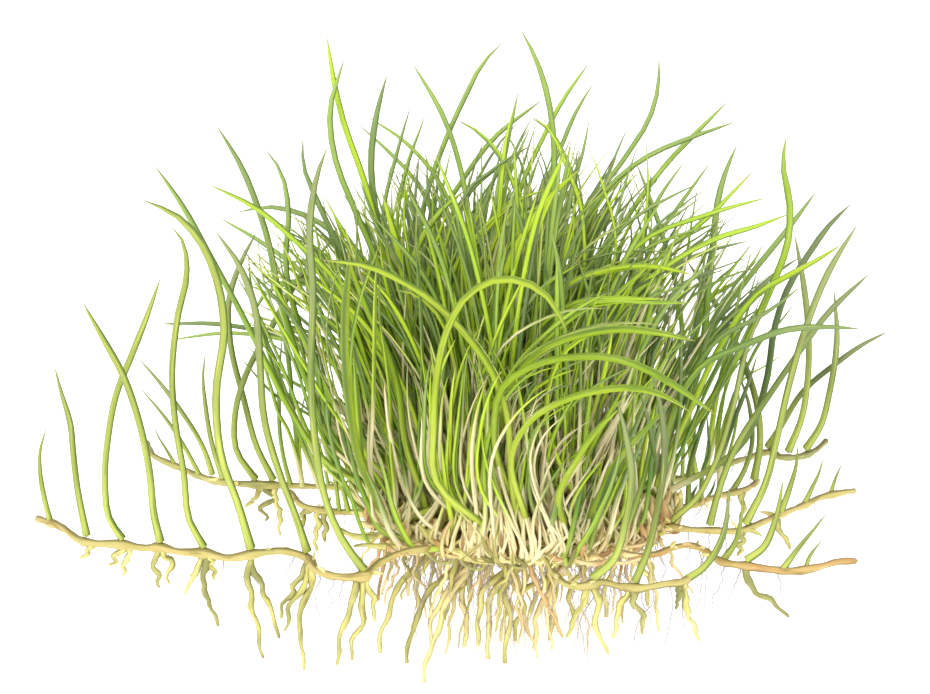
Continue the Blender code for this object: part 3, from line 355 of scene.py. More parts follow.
ROOTS = {
    "roots_left": RootBundle((-8.3, -8.6), (
        ((396, 590), (388, 615), (380, 653)),
    ), (
        ((416, 590), (420, 603), (412, 628)),
    )),
    "roots_front_left": RootBundle((-1.6, -14.6), (
        ((447, 600), (436, 640), (424, 682)),
        ((426, 595), (414, 628), (407, 663)),
    ), (
        ((462, 600), (467, 620), (464, 646)),
        ((440, 600), (432, 622), (432, 645)),
    )),
    "roots_front": RootBundle((5.4, -16.2), (
        ((488, 600), (489, 625), (488, 659)),
        ((504, 590), (510, 612), (505, 663)),
    ), (
        ((481, 595), (479, 618), (478, 645)),
        ((500, 594), (500, 608), (497, 616)),
    )),
    "roots_front_right": RootBundle((12.8, -13.8), (
        ((524, 595), (519, 617), (515, 641)),
        ((552, 590), (555, 610), (550, 640)),
    ), (
        ((542, 590), (533, 602), (530, 612)),
        ((545, 597), (537, 622), (534, 648)),
    )),
    "roots_right": RootBundle((19.6, -6.4), (
        ((610, 575), (604, 595), (606, 617)),
        ((640, 565), (650, 585), (648, 606)),
    ), (
        ((575, 580), (570, 600), (573, 615)),
    )),
    "roots_back": RootBundle((4.5, 6.5), (
        ((430, 560), (414, 580), (408, 596)),
        ((490, 560), (488, 578), (494, 592)),
        ((560, 560), (572, 580), (570, 598)),
    ), (
        ((470, 545), (452, 556), (446, 572)),
        ((515, 545), (530, 556), (534, 574)),
        ((488, 540), (478, 552), (480, 566)),
    )),
}

# The outline, in pixels, that the plain stems of the clump stay inside.
CLUMP_OUTLINE = (
    (330, 520), (305, 420), (268, 330), (285, 265), (345, 200), (400, 165), (520, 125), (570, 130),
    (640, 180), (700, 195), (750, 260), (752, 330), (735, 400), (715, 470), (690, 560), (380, 570),
)


def sight(u, v):
    """The direction in which a pixel is seen."""
    across = (u - PICTURE_WIDTH / 2) * PIXEL_STEP
    up = (PICTURE_HEIGHT / 2 - v) * PIXEL_STEP
    tilt_sine, tilt_cosine = math.sin(VIEW_TILT), math.cos(VIEW_TILT)
    return np.array((across, tilt_cosine + up * tilt_sine, up * tilt_cosine - tilt_sine))


def seen_at(pixel, depth):
    """The point of a pixel's line of sight whose Y is depth."""
    way = sight(*pixel)
    return EYE + way * (depth - EYE[1]) / way[1]


def seen_at_height(pixel, height):
    """The point of a pixel's line of sight whose Z is height."""
    way = sight(*pixel)
    return EYE + way * (height - EYE[2]) / way[2]


def pixel_of(point):
    """The pixel at which a point is seen."""
    across, deep, high = np.asarray(point) - EYE
    tilt_sine, tilt_cosine = math.sin(VIEW_TILT), math.cos(VIEW_TILT)
    ahead = deep * tilt_cosine - high * tilt_sine
    up = deep * tilt_sine + high * tilt_cosine
    return np.array((
        PICTURE_WIDTH / 2 + across / ahead / PIXEL_STEP,
        PICTURE_HEIGHT / 2 - up / ahead / PIXEL_STEP,
    ))


def smooth(points, steps):
    """Points at even steps along a smooth curve through the given ones."""
    points = np.asarray(points, float)
    lengths = np.linalg.norm(np.diff(points, axis=0), axis=1)
    knots = np.concatenate(((0.0,), np.cumsum(lengths)))
    slopes = np.gradient(points, knots, axis=0)
    fine = np.linspace(0, knots[-1], 200)
    i = np.clip(np.searchsorted(knots, fine, side="right") - 1, 0, len(knots) - 2)
    span = lengths[i][:, None]
    t = (fine - knots[i])[:, None] / span
    curve = (
        (2 * t**3 - 3 * t**2 + 1) * points[i]
        + (t**3 - 2 * t**2 + t) * span * slopes[i]
        + (3 * t**2 - 2 * t**3) * points[i + 1]
        + (t**3 - t**2) * span * slopes[i + 1]
    )
    along = np.concatenate(((0.0,), np.cumsum(np.linalg.norm(np.diff(curve, axis=0), axis=1))))
    even = np.linspace(0, along[-1], steps + 1)
    return np.column_stack([np.interp(even, along, curve[:, axis]) for axis in range(3)])


def traced(foot, route, tip_depth):
    """The points of a route that starts at a place and passes evenly to the tip's depth."""
    pixels = np.vstack((pixel_of(foot), route))
    along = np.cumsum(np.linalg.norm(np.diff(pixels, axis=0), axis=1))
    share = (along / along[-1]) ** 1.2
    depths = foot[1] + (tip_depth - foot[1]) * share
    return [foot] + [seen_at(pixel, depth) for pixel, depth in zip(route, depths)]


def crown_face(tree, place, side):
    """The height of the crown's upper (side 1) or lower (side -1) face at a place in plan."""
    start = Vector((place[0], place[1], CROWN_CENTRE[2] + side * 50)) * MM
    hit = tree.ray_cast(start, Vector((0, 0, -side)))[0]
    return hit.z / MM


class Thicket:
    """What has been placed: points a millimetre apart along every stem, runner and root."""

    def __init__(self):
        self.points = []
        self.radii = []
        self.tree = KDTree(0)
        self.tree.balance()

    def add(self, lines, start=0, stop=None):
        """Takes in lines, each a path with its radius, from their bead start to their bead stop."""
        for path, radius in lines:
            for point in self.beads(path)[start:stop]:
                self.points.append(point)
                self.radii.append(radius)
        self.tree = KDTree(len(self.points))
        for i, point in enumerate(self.points):
            self.tree.insert(point, i)
        self.tree.balance()

    @staticmethod
    def beads(path):
        """Points about a millimetre apart along a path."""
        beads = []
        for a, b in zip(path, path[1:]):
            count = max(1, math.ceil(np.linalg.norm(b - a)))
            beads += [a + (b - a) * i / count for i in range(count)]
        return beads + [path[-1]]

    def room(self, path, radius, skip=FOOT_BEADS):
        """The least gap between a path, past its foot, and what has been placed."""
        least = 10.0
        for bead in self.beads(path)[skip:]:
            for _, i, distance in self.tree.find_range(bead, 3.5):
                least = min(least, distance - radius - self.radii[i])
        return least


def clear_shift(thicket, foot, width, tip_depth, route, steps):
    """How far a traced stem's tip moves in depth so that the stem clears what stands already."""
    best, best_room = 0, -10.0
    for shift in DEPTH_SHIFTS:
        path = smooth(traced(foot, route, tip_depth + shift), steps)
        room = thicket.room(path, width / 2)
        if room > best_room:
            best, best_room = shift, room
        if room >= CLEAR:
            break
    return best


def inside(pixel, outline):
    """Whether a pixel is inside an outline."""
    u, v = pixel
    within = False
    for (u1, v1), (u2, v2) in zip(outline, outline[1:] + outline[:1]):
        if (v1 > v) != (v2 > v) and u < u1 + (v - v1) * (u2 - u1) / (v2 - v1):
            within = not within
    return within


def plain_stem(draw, foot, steps):
    """A stem that leans out from the middle of the crown and bends over towards its tip."""
    out_x = foot[0] - CROWN_CENTRE[0]
    out_y = foot[1] - CROWN_CENTRE[1]
    reach = math.hypot(out_x / CROWN_RADIUS[0], out_y / CROWN_RADIUS[1])
    bearing = math.atan2(out_y, out_x) + draw.gauss(0, 0.8)
    lean = math.radians(draw.uniform(2, 10) + draw.uniform(6, 24) * reach)
    bend = math.radians(draw.uniform(0, 50))
    length = draw.uniform(40, 74)
    path = [np.array(foot, float)]
    for i in range(steps):
        share = (i + 0.5) / steps
        tilt = lean * (0.4 + 0.6 * share) + bend * share**2
        step = np.array((
            math.sin(tilt) * math.cos(bearing), math.sin(tilt) * math.sin(bearing), math.cos(tilt)))
        path.append(path[-1] + step * length / steps)
    return np.array(path)


def clear_plain_stem(thicket, draw, foot, width):
    """A plain stem inside the clump's outline that clears what stands already."""
    best, best_room = None, -10.0
    for _ in range(300):
        path = plain_stem(draw, foot, PLAIN_STEPS)
        if not all(inside(pixel_of(point), CLUMP_OUTLINE) for point in path[2:]):
            continue
        room = thicket.room(path, width / 2)
        if room > best_room:
            best, best_room = path, room
        if room >= CLEAR:
            break
    return best


def runner_path(runner, crown_tree):
    """A runner's points, level with the crown and gently waved, from just outside the crown."""
    points = []
    for i, pixel in enumerate(runner.route):
        points.append(seen_at_height(pixel, RUNNER_HEIGHT + 0.5 * math.sin(1.7 * i)))
    fine = smooth(points, 150)
    start = 0
    for i, point in enumerate(fine[:75]):
        if crown_tree.find_nearest(Vector(point) * MM)[3] / MM < runner.width / 2 + GAP + 0.2:
            start = i + 1
    return smooth(fine[start:], len(runner.route) - 1)


def nearest_on(path, pixel):
    """The point of a path that is seen nearest to a pixel."""
    beads = Thicket.beads(path)
    return min(beads, key=lambda bead: np.linalg.norm(pixel_of(bead) - pixel))


def root_path(top, route, steps):
    """A hanging root: it keeps the depth of what it grows from."""
    points = [top] + [seen_at(pixel, top[1]) for pixel in route]
    return smooth(points, steps)


def standing_root(top, route):
    """A root that reaches the surface and ends on it, square to it."""
    tip = seen_at_height(route[-1], 0)
    above = tip + np.array((0, 0, 2.5))
    middle = [seen_at(pixel, top[1] + (tip[1] - top[1]) * share)
              for pixel, share in zip(route[:-1], (0.4, 0.75))]
    path = smooth([top, *middle, above], 5)
    return np.vstack((path, tip))


def order_round(tuft):
    """A tuft's stems in the order of their bearings, with None for each plain one, spread between them."""
    traced_stems = sorted(tuft.blades, key=lambda blade: bearing_of(tuft, blade))
    order = list(traced_stems)
    for i in range(tuft.plain):
        order.insert(i * (len(order) + 1) // tuft.plain, None)
    return order


def bearing_of(tuft, blade):
    """The bearing in plan of a blade's middle from its tuft's foot."""
    middle = seen_at(blade.route[len(blade.route) * 2 // 3], (tuft.foot[1] + blade.tip_depth) / 2)
    return math.atan2(middle[1] - tuft.foot[1], middle[0] - tuft.foot[0])


def turns_round(tuft):
    """Even turns round the foot, begun at the first traced stem's own bearing."""
    order = order_round(tuft)
    count = len(order)
    first = next((i for i, blade in enumerate(order) if blade), 0)
    start = bearing_of(tuft, order[first]) if tuft.blades else 0.7
    return [start + 2 * math.pi * (i - first) / count for i in range(count)]

STEM_SIDES = 6
FINE_STEPS = 22
FILL_STEPS = 15
FILL_STEMS = 1350
RUNNER_SCALES = 12
HIDDEN_FOOT = 11.0
MAT_RISE = 0.7

# The outlines, in pixels, of the dense part of the clump, where single stems can't be told apart, and of
# the looser part round it.
DENSE_OUTLINE = (
    (352, 500), (346, 440), (340, 385), (336, 335), (338, 292), (350, 262), (376, 240), (404, 226), (438, 208),
    (470, 188), (515, 172), (560, 172), (592, 190), (620, 206), (640, 228), (656, 262), (676, 300), (692, 345),
    (688, 400), (664, 450), (650, 500), (630, 560), (380, 580),
)
LOOSE_OUTLINE = (
    (335, 500), (300, 430), (264, 370), (240, 325), (234, 262), (276, 218), (340, 184), (390, 164), (436, 146),
    (480, 128), (520, 114), (560, 120), (600, 146), (645, 166), (696, 182), (736, 218), (768, 268), (774, 330),
    (752, 410), (722, 470), (695, 520), (640, 560), (380, 580),
)

# Tones of stems that stand out, by the pixel of the tip: 0 is deep green, 1 is lime.
TONES = {
    (382, 192): 0.86, (350, 252): 0.92, (347, 250): 0.8, (579, 170): 0.86, (545, 190): 0.84, (465, 190): 0.62,
    (693, 275): 0.84, (567, 332): 0.97, (323, 260): 0.97, (716, 415): 0.7, (690, 412): 0.88, (618, 410): 0.82,
    (503, 262): 0.84, (625, 385): 0.72, (695, 341): 0.76, (327, 37): 0.72, (589, 63): 0.6, (841, 245): 0.74,
    (766, 198): 0.66, (753, 171): 0.66, (668, 405): 0.66, (860, 329): 0.2, (800, 287): 0.3, (787, 214): 0.6,
    (786, 137): 0.62, (143, 200): 0.78,
    (851, 204): 0.0, (799, 258): 0.04, (687, 261): 0.06, (887, 332): 0.0, (869, 274): 0.14, (652, 372): 0.02,
    (333, 239): 0.14, (256, 233): 0.26, (303, 138): 0.24, (748, 241): 0.16, (722, 271): 0.12, (640, 392): 0.1,
    (738, 372): 0.05, (327, 148): 0.2, (617, 400): 0.3, (650, 392): 0.3, (857, 225): 0.4, (216, 232): 0.42,
    (251, 320): 0.3, (246, 267): 0.28, (217, 126): 0.36, (729, 488): 0.4,
}

# More stems that can be told apart, by what they grow on: width, tip depth, tone, and pixels from the foot.
LONE_STEMS = {
    "runner_left_back": (
        (0.8, 6, 0.42, ((300, 485), (298, 455), (295, 425), (292, 400), (289, 365), (283, 330), (277, 300))),
        (0.7, 10, 0.2, ((289, 484), (284, 460), (280, 435), (279, 405), (279, 375), (282, 340))),
        (0.7, 2, 0.3, ((318, 486), (313, 458), (301, 430), (291, 405), (284, 385), (279, 370))),
        (0.8, 4, 0.32, ((337, 487), (330, 462), (324, 440), (320, 415), (318, 390), (317, 350))),
        (0.9, -2, 0.5, ((354, 488), (347, 465), (340, 448), (334, 428), (331, 405), (325, 380), (318, 350))),
        (0.4, 8, 0.75, ((301, 484), (300, 440), (301, 415), (305, 395), (308, 380))),
        (0.6, 0, 0.1, ((346, 489), (338, 470), (333, 448), (327, 430), (321, 418))),
        (0.5, 10, 0.3, ((330, 486), (322, 455), (312, 420), (302, 385), (294, 350), (287, 320), (278, 292),
                        (268, 279), (256, 266), (247, 255), (240, 245))),
        (0.8, 6, 0.42, ((345, 488), (335, 450), (325, 410), (318, 370), (313, 335), (311, 315), (307, 297),
                        (300, 283))),
        (0.8, 4, 0.35, ((318, 486), (305, 450), (294, 420), (284, 395), (278, 375), (275, 360), (268, 345),
                        (261, 320))),
        (0.6, 2, 0.6, ((303, 486), (296, 455), (288, 430), (278, 412), (273, 395), (268, 378), (259, 345))),
        (0.6, 9, 0.5, ((360, 488), (345, 440), (332, 400), (318, 372), (300, 345), (288, 325), (276, 300))),
    ),
    "runner_stub_left": (
        (0.6, -8, 0.12, ((366, 514), (352, 500), (342, 478), (334, 452), (326, 430))),
        (0.7, -8, 0.25, ((378, 515), (362, 492), (352, 465), (344, 438), (338, 410))),
        (0.7, -6, 0.4, ((350, 505), (340, 480), (330, 455), (322, 425), (318, 400))),
        (0.6, -4, 0.3, ((340, 503), (334, 470), (330, 440), (330, 405), (333, 375))),
    ),
    "runner_stub_right": (
        (0.8, 16, 0.08, ((686, 500), (690, 470), (695, 448), (701, 428), (708, 408), (716, 388), (724, 368),
                         (731, 347))),
        (0.7, 14, 0.12, ((700, 503), (703, 470), (709, 452), (708, 430), (707, 415))),
        (0.8, 20, 0.04, ((719, 496), (720, 468), (726, 444), (734, 420), (742, 400), (751, 375), (757, 356))),
        (0.7, 10, 0.05, ((706, 502), (712, 490), (716, 478))),
        (0.8, 9, 0.08, ((690, 506), (692, 496), (698, 484))),
    ),
    "runner_right_back": (
        (0.7, 26, 0.6, ((706, 474), (713, 445), (719, 418), (723, 398), (730, 378), (737, 362))),
        (0.6, 24, 0.3, ((672, 480), (675, 450), (677, 420), (672, 398))),
        (0.6, 22, 0.2, ((688, 478), (692, 450), (696, 420), (698, 398))),
        (0.4, 30, 0.7, ((716, 470), (728, 410), (745, 378), (765, 366), (787, 352))),
        (0.5, 28, 0.66, ((726, 466), (735, 430), (739, 400), (738, 380))),
        (0.5, 26, 0.62, ((690, 478), (688, 430), (690, 380), (697, 330), (707, 292), (720, 278), (732, 268),
                         (742, 256), (752, 243))),
        (0.7, 24, 0.62, ((697, 476), (690, 430), (691, 380), (698, 330), (712, 296), (724, 289), (736, 282),
                         (747, 271), (756, 258), (763, 244))),
        (0.5, 28, 0.4, ((714, 472), (719, 430), (725, 390), (733, 350), (742, 315), (748, 300), (753, 285),
                        (758, 268))),
        (0.9, 22, 0.74, ((706, 474), (710, 440), (716, 400), (724, 365), (733, 338), (742, 314), (754, 294))),
        (0.6, 24, 0.3, ((716, 471), (722, 440), (732, 400), (748, 365), (762, 340), (780, 322), (794, 304))),
        (0.6, 20, 0.25, ((680, 479), (684, 440), (692, 400), (704, 360), (718, 330), (738, 306), (752, 298))),
    ),
    "crown": (
        (0.6, 18, 0.3, ((560, 492), (574, 430), (588, 360), (600, 290), (612, 240), (630, 221), (650, 208),
                        (672, 196), (697, 184))),
        (0.5, 16, 0.25, ((575, 494), (592, 430), (608, 360), (628, 290), (648, 236), (664, 219), (680, 207),
                         (692, 198), (705, 190))),
        (0.5, 20, 0.35, ((548, 490), (566, 400), (584, 320), (600, 260), (616, 216), (624, 188), (631, 165),
                         (638, 145))),
        (0.5, 22, 0.75, ((566, 492), (590, 420), (616, 340), (636, 270), (646, 216), (648, 175), (646, 143))),
        (0.5, 14, 0.8, ((540, 496), (562, 420), (588, 340), (610, 280), (616, 245), (612, 215), (604, 190),
                        (598, 170), (590, 150))),
        (0.7, 18, 0.8, ((520, 492), (540, 420), (566, 340), (584, 270), (584, 235), (580, 202), (571, 178),
                        (560, 150), (550, 130), (533, 117))),
        (0.8, 16, 0.84, ((486, 494), (488, 420), (492, 340), (496, 260), (500, 200), (503, 165), (507, 135),
                         (514, 108))),
        (0.6, 18, 0.66, ((500, 494), (512, 420), (526, 330), (534, 265), (524, 215), (513, 183), (505, 163),
                         (493, 145), (478, 131), (460, 121))),
        (0.6, 14, 0.15, ((446, 498), (446, 420), (448, 330), (452, 260), (458, 215), (470, 187), (482, 178),
                         (500, 164), (515, 154), (530, 146))),
        (0.5, 20, 0.3, ((470, 492), (474, 400), (482, 300), (492, 220), (504, 180), (516, 150), (529, 127))),
        (0.5, 18, 0.3, ((505, 494), (510, 400), (516, 300), (522, 220), (530, 180), (542, 151))),
        (0.5, 18, 0.25, ((450, 494), (456, 400), (466, 300), (478, 230), (490, 190), (500, 155), (504, 138))),
        (0.7, 12, 0.25, ((440, 504), (430, 440), (415, 390), (400, 345), (388, 310), (375, 280), (362, 258),
                         (347, 240), (337, 224))),
        (0.6, 14, 0.35, ((435, 504), (425, 440), (412, 380), (400, 330), (388, 290), (380, 262), (374, 240),
                         (368, 225), (361, 207))),
        (0.5, 8, 0.2, ((397, 503), (380, 440), (360, 380), (342, 330), (328, 290), (318, 265), (311, 248),
                       (305, 235), (301, 223))),
        (0.4, 8, 0.6, ((407, 505), (385, 440), (362, 370), (348, 320), (338, 282), (333, 265), (328, 250),
                       (324, 233))),
        (0.8, -10, 0.3, ((396, 546), (380, 530), (368, 505), (358, 480), (350, 450), (343, 420))),
        (0.8, -6, 0.5, ((400, 540), (386, 520), (376, 495), (366, 465), (358, 430), (352, 400))),
        (0.8, -24, 0.05, ((588, 552), (594, 530), (600, 508), (610, 480), (622, 450), (632, 420))),
        (0.8, -20, 0.1, ((604, 553), (610, 530), (616, 505), (626, 476), (640, 446), (650, 415))),
        (0.7, -12, 0.15, ((636, 545), (643, 520), (648, 495), (652, 460), (660, 425), (672, 395))),
        (0.8, -8, 0.2, ((622, 540), (632, 515), (642, 485), (650, 450), (656, 415), (660, 385))),
        (0.7, 0, 0.1, ((650, 520), (664, 490), (674, 452), (679, 420), (681, 380), (681, 325))),
        (0.7, 0, 0.6, ((412, 516), (400, 470), (385, 420), (372, 370), (362, 330), (355, 300), (351, 280),
                       (347, 262))),
        (0.9, -26, 0.1, ((524, 541), (527, 551), (533, 559), (540, 552), (547, 537), (553, 520), (558, 500),
                         (566, 478), (580, 452), (592, 430))),
        (0.8, -20, 0.25, ((562, 560), (568, 547), (573, 528), (579, 500), (584, 478), (590, 450))),
        (0.8, -24, 0.36, ((560, 572), (567, 565), (579, 548), (591, 529), (600, 510), (609, 490), (617, 465),
                          (622, 440))),
        (0.7, -14, 0.5, ((606, 556), (611, 534), (614, 512), (614, 490))),
        (0.6, -20, 0.1, ((447, 541), (436, 531), (424, 521), (415, 509), (405, 488), (398, 468))),
        (0.9, -22, 0.9, ((455, 540), (452, 520), (448, 500), (444, 470), (441, 440))),
        (0.7, -14, 0.3, ((392, 548), (370, 545), (362, 530), (352, 500), (343, 480), (336, 460), (331, 440),
                         (327, 415), (326, 390))),
        (1.0, -18, 0.35, ((420, 556), (406, 551), (394, 538), (384, 516), (376, 492), (366, 470))),
        (0.9, -20, 0.55, ((428, 558), (414, 548), (402, 530), (392, 506), (386, 480), (380, 455))),
    ),
}
RUNNER_TONES = {
    "runner_right_front": 0.75, "runner_left_back": 0.2, "runner_right_back": 0.1, "runner_front": 0.35,
}
DEAD_STEM = (0.5, 24, 0.5, ((600, 300), (596, 268), (583, 247), (565, 246), (548, 248), (533, 253), (525, 257)))

# Rhizomes and dead scraps that can be told apart on the crown: width, tone, pixels.
RHIZOME_BITS = (
    (1.2, 0.35, ((352, 512), (364, 514), (376, 510))),
    (1.1, 0.55, ((360, 522), (372, 526), (384, 524))),
    (1.2, 0.4, ((366, 534), (378, 536), (392, 534))),
    (1.0, 0.3, ((354, 497), (366, 506), (378, 508))),
    (1.2, 0.5, ((372, 516), (384, 520), (396, 518))),
    (1.0, 0.6, ((376, 500), (386, 508), (398, 512))),
    (0.9, 0.62, ((592, 530), (600, 533), (610, 535), (620, 533), (640, 528), (652, 526))),
    (0.8, 0.78, ((575, 560), (585, 563), (595, 564), (606, 560))),
    (0.7, 0.72, ((617, 563), (625, 563), (633, 561), (648, 556))),
    (0.8, 0.6, ((620, 549), (628, 555), (637, 555))),
    (0.8, 0.9, ((555, 537), (562, 543), (578, 545))),
    (0.7, 0.5, ((592, 540), (600, 549), (611, 548))),
    (0.8, 0.72, ((628, 547), (640, 545), (650, 538), (656, 528))),
    (0.6, 0.7, ((640, 512), (650, 509), (660, 506))),
    (1.1, 0.97, ((508, 515), (511, 524), (508, 536))),
    (1.1, 0.97, ((474, 541), (476, 550), (471, 555))),
    (0.9, 0.93, ((432, 543), (439, 546), (447, 551))),
    (1.0, 0.9, ((497, 545), (494, 552), (490, 554))),
    (0.9, 0.97, ((454, 513), (459, 517), (464, 518))),
    (1.0, 0.93, ((590, 508), (592, 516), (590, 524))),
    (0.9, 0.86, ((384, 540), (392, 550), (402, 556))),
    (0.9, 0.86, ((394, 534), (400, 545), (408, 556))),
    (0.9, 0.88, ((520, 534), (518, 544), (514, 552))),
    (0.8, 0.84, ((548, 550), (555, 558), (563, 560))),
    (0.5, 0.15, ((427, 551), (433, 558), (440, 563), (450, 563), (457, 559))),
    (0.5, 0.15, ((463, 559), (468, 567), (477, 570), (486, 566))),
    (0.5, 0.15, ((512, 561), (518, 568), (526, 568))),
    (0.9, 0.1, ((392, 547), (376, 546), (362, 545), (355, 546))),
    (1.1, 0.1, ((372, 537), (358, 537), (346, 533), (340, 529))),
)

# Hair roots that can be told apart, by what they hang from.
HAIR_ROUTES = {
    "runner_left_front": (
        ((334, 576), (331, 595), (329, 612)), ((343, 577), (339, 597), (337, 605)),
        ((293, 556), (285, 575), (281, 585)), ((226, 557), (222, 575), (224, 588)),
        ((320, 572), (316, 600), (319, 622)),
    ),
    "runner_left_back": (((366, 492), (365, 520), (362, 545), (363, 562)), ((345, 489), (345, 512), (344, 530))),
    "runner_front": (
        ((603, 584), (590, 605), (579, 625), (585, 650), (594, 672), (595, 679)),
        ((655, 586), (652, 605), (640, 620), (634, 632), (636, 650)),
        ((668, 585), (672, 605), (670, 625), (662, 648)),
        ((640, 590), (646, 610), (652, 625)), ((684, 582), (683, 612), (682, 640)),
    ),
    "runner_right_front": (
        ((705, 549), (703, 575), (697, 600), (699, 617)), ((700, 547), (706, 580), (704, 607)),
        ((726, 562), (722, 580), (712, 602), (714, 612)), ((662, 552), (664, 575), (660, 592)),
        ((740, 566), (737, 580), (728, 600)), ((778, 571), (781, 588), (776, 600)),
    ),
    "runner_right": (
        ((690, 530), (688, 550), (691, 572)), ((712, 530), (709, 545), (706, 560)),
        ((725, 530), (726, 548), (722, 566)), ((815, 502), (817, 516), (822, 522)),
    ),
    "runner_stub_right": (((703, 503), (697, 515), (695, 527)), ((728, 494), (727, 505), (730, 520))),
    "runner_right_back": (((733, 462), (731, 478), (735, 484)), ((744, 460), (748, 478), (747, 496))),
}


def arc_fractions(path):
    """How far along a path each of its points is, from 0 to 1, and its length."""
    along = np.concatenate(((0.0,), np.cumsum(np.linalg.norm(np.diff(path, axis=0), axis=1))))
    return along / along[-1], along[-1]


class Bundle:
    """Tubes that become one mesh, each with its own strip of the UV map and its own tone."""

    def __init__(self, columns):
        self.columns = columns
        self.points = []
        self.faces = []
        self.uvs = []
        self.values = {"along": [], "share": [], "around": [], "tone": [], "kind": []}
        self.strips = []

    def tube(self, path, radii, sides=STEM_SIDES, tone=0.5, kind=0.0, start=(1, 0, 0), flat=1.0,
             hidden=0.0):
        """Adds a closed tube with a pointed tip. Its first cross-section axis is near start, and its length is
        counted from where it comes into sight."""
        path = np.asarray(path, float)
        count = len(path)
        tangents = np.gradient(path, axis=0)
        tangents /= np.linalg.norm(tangents, axis=1)[:, None]
        side = np.array(start, float)
        first = sum(len(block) for block in self.points)
        share, length = arc_fractions(path)
        angles = 2 * np.pi * np.arange(sides) / sides
        block = np.empty((count * sides + 2, 3))
        for i, (point, tangent) in enumerate(zip(path, tangents)):
            side = side - tangent * side.dot(tangent)
            side /= np.linalg.norm(side)
            across = np.cross(tangent, side)
            ring = np.outer(np.cos(angles), side) + flat * np.outer(np.sin(angles), across)
            block[i * sides:(i + 1) * sides] = point + radii[i] * ring
        block[-2] = path[0] - tangents[0] * radii[0] * 0.4
        block[-1] = path[-1] + tangents[-1] * radii[-1] * 1.5
        block[:, 2] = np.maximum(block[:, 2], 0.0)
        self.points.append(block)
        number = len(self.strips)
        self.strips.append(number)
        faces, uvs = [], []
        for i in range(count - 1):
            for j in range(sides):
                k = (j + 1) % sides
                faces.append((i * sides + j, i * sides + k, (i + 1) * sides + k, (i + 1) * sides + j))
                low, high = share[i], share[i + 1]
                uvs.append(((j, low), (j + 1, low), (j + 1, high), (j, high)))
        for j in range(sides):
            k = (j + 1) % sides
            faces.append((count * sides, k, j))
            uvs.append(((j + 0.5, -0.02), (j + 1, 0.0), (j, 0.0)))
            last = (count - 1) * sides
            faces.append((count * sides + 1, last + j, last + k))
            uvs.append(((j + 0.5, 1.02), (j, 1.0), (j + 1, 1.0)))
        self.faces += [tuple(first + index for index in face) for face in faces]
        self.uvs += [(number, sides, corner) for corners in uvs for corner in corners]
        along = np.concatenate((np.repeat(share * length, sides), (0, length)))
        self.values["along"].append(along - hidden)
        self.values["share"].append(np.concatenate((np.repeat(share, sides), (0, 1))))
        self.values["around"].append(np.concatenate((np.tile(np.cos(angles), count), (0, 0))))
        self.values["tone"].append(np.full(count * sides + 2, tone))
        self.values["kind"].append(np.full(count * sides + 2, kind))

    def piece(self, name, look, nodes=()):
        """The mesh object, riding on the plant and standing for its CAD nodes."""
        mesh = bpy.data.meshes.new(name)
        points = np.concatenate(self.points) * MM
        mesh.from_pydata(points, [], self.faces)
        for key, blocks in self.values.items():
            layer = mesh.attributes.new(key, "FLOAT", "POINT")
            layer.data.foreach_set("value", np.concatenate(blocks).astype(np.float32))
        rows = math.ceil(len(self.strips) / self.columns)
        coordinates = np.empty((len(self.uvs), 2), np.float32)
        for i, (number, sides, (j, along)) in enumerate(self.uvs):
            column, row = number % self.columns, number // self.columns
            coordinates[i, 0] = (column + 0.06 + 0.88 * j / sides) / self.columns
            coordinates[i, 1] = (row + 0.05 + 0.9 * along) / rows
        layer = mesh.uv_layers.new(name="OFBake")
        layer.data.foreach_set("uv", coordinates.ravel())
        mesh.shade_smooth()
        made = bpy.data.objects.new(name, mesh)
        bpy.context.scene.collection.objects.link(made)
        mesh.materials.append(look)
        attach(made, "root")
        if nodes:
            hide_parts(*nodes)
        return made


